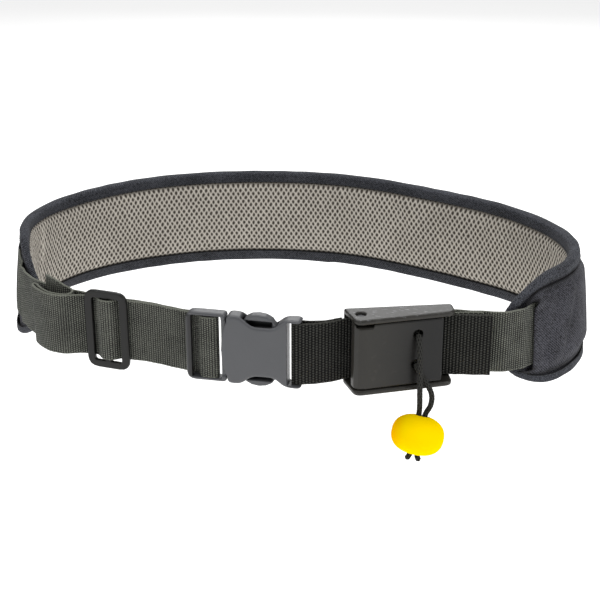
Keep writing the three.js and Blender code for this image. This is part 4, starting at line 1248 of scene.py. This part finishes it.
def makeStrap(name, plan):
    # the section carried along the plan line, leaning as the pad does; cross ribs thicken it every rib length
    strap = straps[name]
    line, along = smoothRoute(plan, strap["rib"] / web["ribSteps"])
    far = along[:, None]
    ahead = unit(np.gradient(line, axis=0))
    height, out = (part[None] for part in strapSection())
    onFace = np.sign(out) * (np.abs(out) > web["faceOut"])
    ribs = web["rib"] * np.cos(2 * math.pi * far / strap["rib"]) * onFace
    edge = 1 + web["waver"] * np.sin(far * web["waverTurn"]) * np.sign(height)
    stand = out + ribs - flareAt(line[:, :1], line[:, 1:]) * height
    hangs = (1 - ease(web["sagFull"], web["sagFrom"], np.abs(line[:, :1]))) * (line[:, 1:] < web["sagFront"])
    rise = web["sag"] * hangs + strap["lift"] * (1 - ease(0, web["liftFrom"], far[-1] - far))
    x, y = line[:, :1] + stand * ahead[:, 1:], line[:, 1:] - stand * ahead[:, :1]
    grid = np.stack([x, y, height * edge + rise], 2)
    uv = np.stack(np.broadcast_arrays(far, np.append(height, height[:, :1], 1)), 2)
    mesh = surfaceMesh(name, grid, uv)
    addPiece(name, mesh, name, "belt", [strap["node"]])
    print("strap", name, grid.shape, round(float(along[-1]), 3))


makeStrap("greyWebbing", greyPlan())
makeStrap("blackWebbing", blackPlan())


# moulded pieces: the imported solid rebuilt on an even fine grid, its edges rounded as a mould leaves them
mould = {"merge": 1e-6, "smooth": 0.5}


def moulded(name, node, voxel, rounds, look, body, slot, shape=None, shade=None, wearAndShade=None):
    mesh = nodes[node].data.copy()
    made = bmesh.new()
    made.from_mesh(mesh)
    bmesh.ops.remove_doubles(made, verts=made.verts, dist=mould["merge"])
    made.to_mesh(mesh)
    made.free()
    work = bpy.data.objects.new(name + "Work", mesh)
    scene.collection.objects.link(work)
    even = work.modifiers.new("even", "REMESH")
    even.mode = "VOXEL"
    even.voxel_size = voxel
    smooth = work.modifiers.new("rounded", "SMOOTH")
    smooth.factor = mould["smooth"]
    smooth.iterations = rounds
    done = bpy.data.meshes.new_from_object(work.evaluated_get(bpy.context.evaluated_depsgraph_get()))
    bpy.data.objects.remove(work)
    done.name = name
    points = pointsOf(done)
    if shape is not None:
        points = shape(points)
    done.vertices.foreach_set("co", points.astype(np.float32).ravel())
    done.polygons.foreach_set("use_smooth", np.ones(len(done.polygons), bool))
    done.update()
    if shade is not None:
        addAttribute(done, "shade", shade(points))
    if wearAndShade is not None:
        addAttribute(done, "wearAndShade", wearAndShade(points))
    addPiece(name, done, look, body, [node])
    print("moulded", name, len(done.polygons))


# places on the clip and the cam buckle; four edges are a rise and a fall
clip = {
    "level": -0.0015,
    "bulge": 0.0012,
    "bulgeMiddle": 0.006,
    "bulgeLong": 0.026,
    "bulgeTall": 0.028,
    "bulgeFront": (-0.148, -0.154),
    "scoop": 0.0045,
    "scoopAlong": (-0.001, 0.0015, 0.0185, 0.021),
    "scoopLevel": (0.0165, 0.018, 0.0232, 0.0247),
    "scoopFront": (-0.1478, -0.149),
    # painted shade on the deep end bar: its outer and inner share
    "barPaintedShade": (0.62, 0.96),
    "barEdges": (-0.0454, -0.0438, -0.0408, -0.0396),
    "barHalf": 0.0255,
}
cam = {
    # painted shade along the lever: how dark, and where it rises
    "leverPaintedShade": 0.85,
    "leverShadeAlong": (0.012, 0.066),
    "flangeTop": (0.029, 0.031),
    "notch": 0.0022,
    "notchAlong": (0.0062, 0.0072, 0.0192, 0.0202),
    "notchOut": (0.017, 0.019),
    "notchLevel": (0.0225, 0.0252),
}


def hump(value, half):
    # parabola, 1 in the middle and 0 from half on
    return 1 - np.clip(value / half, -1, 1) ** 2


def clipBulge(points):
    # the front swells a little towards its middle
    tall = hump(points[:, 2] - clip["level"], clip["bulgeTall"])
    long = hump(points[:, 0] - clip["bulgeMiddle"], clip["bulgeLong"])
    points[:, 1] -= clip["bulge"] * tall * long * ease(*clip["bulgeFront"], points[:, 1])
    return points


def prongHollow(points):
    # how much a point of the plug lies under a finger pad, between the pad and the other half's scooped edge
    level = np.abs(points[:, 2] - clip["level"])
    return band(clip["scoopAlong"], points[:, 0]) * band(clip["scoopLevel"], level)


def plugHollow(points):
    # the front below each finger pad is scooped back
    points[:, 1] += clip["scoop"] * prongHollow(points) * ease(*clip["scoopFront"], points[:, 1])
    return points


def plugShade(points):
    # painted shade under the finger pads and on the deep end bar
    rise, fall = clip["barEdges"][:2], clip["barEdges"][2:]
    bar = mixed(*clip["barPaintedShade"], ease(*rise, points[:, 0])) * (1 - ease(*fall, points[:, 0]))
    return np.maximum(prongHollow(points), bar * (np.abs(points[:, 2] - clip["level"]) < clip["barHalf"]))


def aboutCam(points):
    # x and y turned back to along the cam buckle and out from the wearer
    turn = math.radians(camPlace["turnDeg"])
    x, y = points[:, 0] - camPlace["x"], points[:, 1] - camPlace["y"]
    return x * math.cos(turn) + y * math.sin(turn), x * math.sin(turn) - y * math.cos(turn)


def leverShade(points):
    # painted shade: darker along the lever away from the pivot, so paler near it
    return cam["leverPaintedShade"] * ease(*cam["leverShadeAlong"], aboutCam(points)[0])


def flangeWorn(points):
    # the upper flange's top is rubbed
    return ease(*cam["flangeTop"], points[:, 2])


def leverNotch(points):
    # relief cut under the flange above the pivot
    along, out = aboutCam(points)
    cut = band(cam["notchAlong"], along) * ease(*cam["notchOut"], out)
    points[:, 2] -= cam["notch"] * cut * ease(*cam["notchLevel"], points[:, 2])
    return points


# node, voxel, rounds of smoothing, finish, body and slot, then what gives its shape, painted shade and wear
mouldings = {
    "clipSocket": ("clip_socket", 0.0006, 5, "slatePlastic", "belt", "slate_plastic", clipBulge),
    "clipPlug": ("clip_plug", 0.00055, 5, "slatePlastic", "belt", "slate_plastic", plugHollow, plugShade),
    "triGlide": ("tri_glide", 0.0005, 4, "blackPlastic", "belt", "black_plastic"),
    "camBody": ("cam_body", 0.0007, 4, "camPlastic", "belt", "cam_plastic", None, None, flangeWorn),
    "camLever": ("cam_lever", 0.0006, 4, "camPlastic", "release_lever", "cam_plastic",
                 leverNotch, leverShade),
    "camPin": ("cam_pin", 0.0005, 4, "pinSteel", "belt", "pin_steel"),
}
for piece, row in mouldings.items():
    moulded(piece, *row)


# pale floor and soft light
studio = {
    "floor": -0.135,
    "half": 6.0,
    "world": 0.3,
    # name, place, aim, size and power
    "lamps": [
        ("topSoftbox", (-0.15, 0.1, 1.5), (0, 0, 0), 1.5, 16.0),
        ("frontSoftbox", (-1.0, -1.2, 0.75), (0, -0.08, 0), 0.7, 5.5),
        ("sideSoftbox", (1.3, -0.5, 0.8), (0, -0.08, 0), 0.6, 9.0),
        ("backSoftbox", (-0.25, 1.5, 0.75), (0, -0.1, 0), 0.9, 6.0),
    ],
}


def makeStudio():
    h, z = studio["half"], studio["floor"]
    mesh = bpy.data.meshes.new("floor")
    mesh.from_pydata([(-h, -h, z), (h, -h, z), (h, h, z), (-h, h, z)], [], [(0, 1, 2, 3)])
    floor = bpy.data.objects.new("floor", mesh)
    scene.collection.objects.link(floor)
    mesh.materials.append(looks["floorPaper"])
    world = bpy.data.worlds.new("studioWorld")
    world.use_nodes = True
    sky = world.node_tree.nodes["Background"].inputs
    sky["Color"].default_value = (1, 1, 1, 1)
    sky["Strength"].default_value = studio["world"]
    scene.world = world
    for name, place, aim, size, power in studio["lamps"]:
        data = bpy.data.lights.new(name, "AREA")
        data.size = size
        data.energy = power
        lamp = bpy.data.objects.new(name, data)
        lamp.location = place
        away = np.array(aim) - np.array(place)
        dip = math.acos(-away[2] / np.linalg.norm(away))
        lamp.rotation_euler = (dip, 0, math.atan2(away[1], away[0]) - math.pi / 2)
        scene.collection.objects.link(lamp)
    scene.view_settings.view_transform = "Standard"


makeStudio()
print("studio lit")
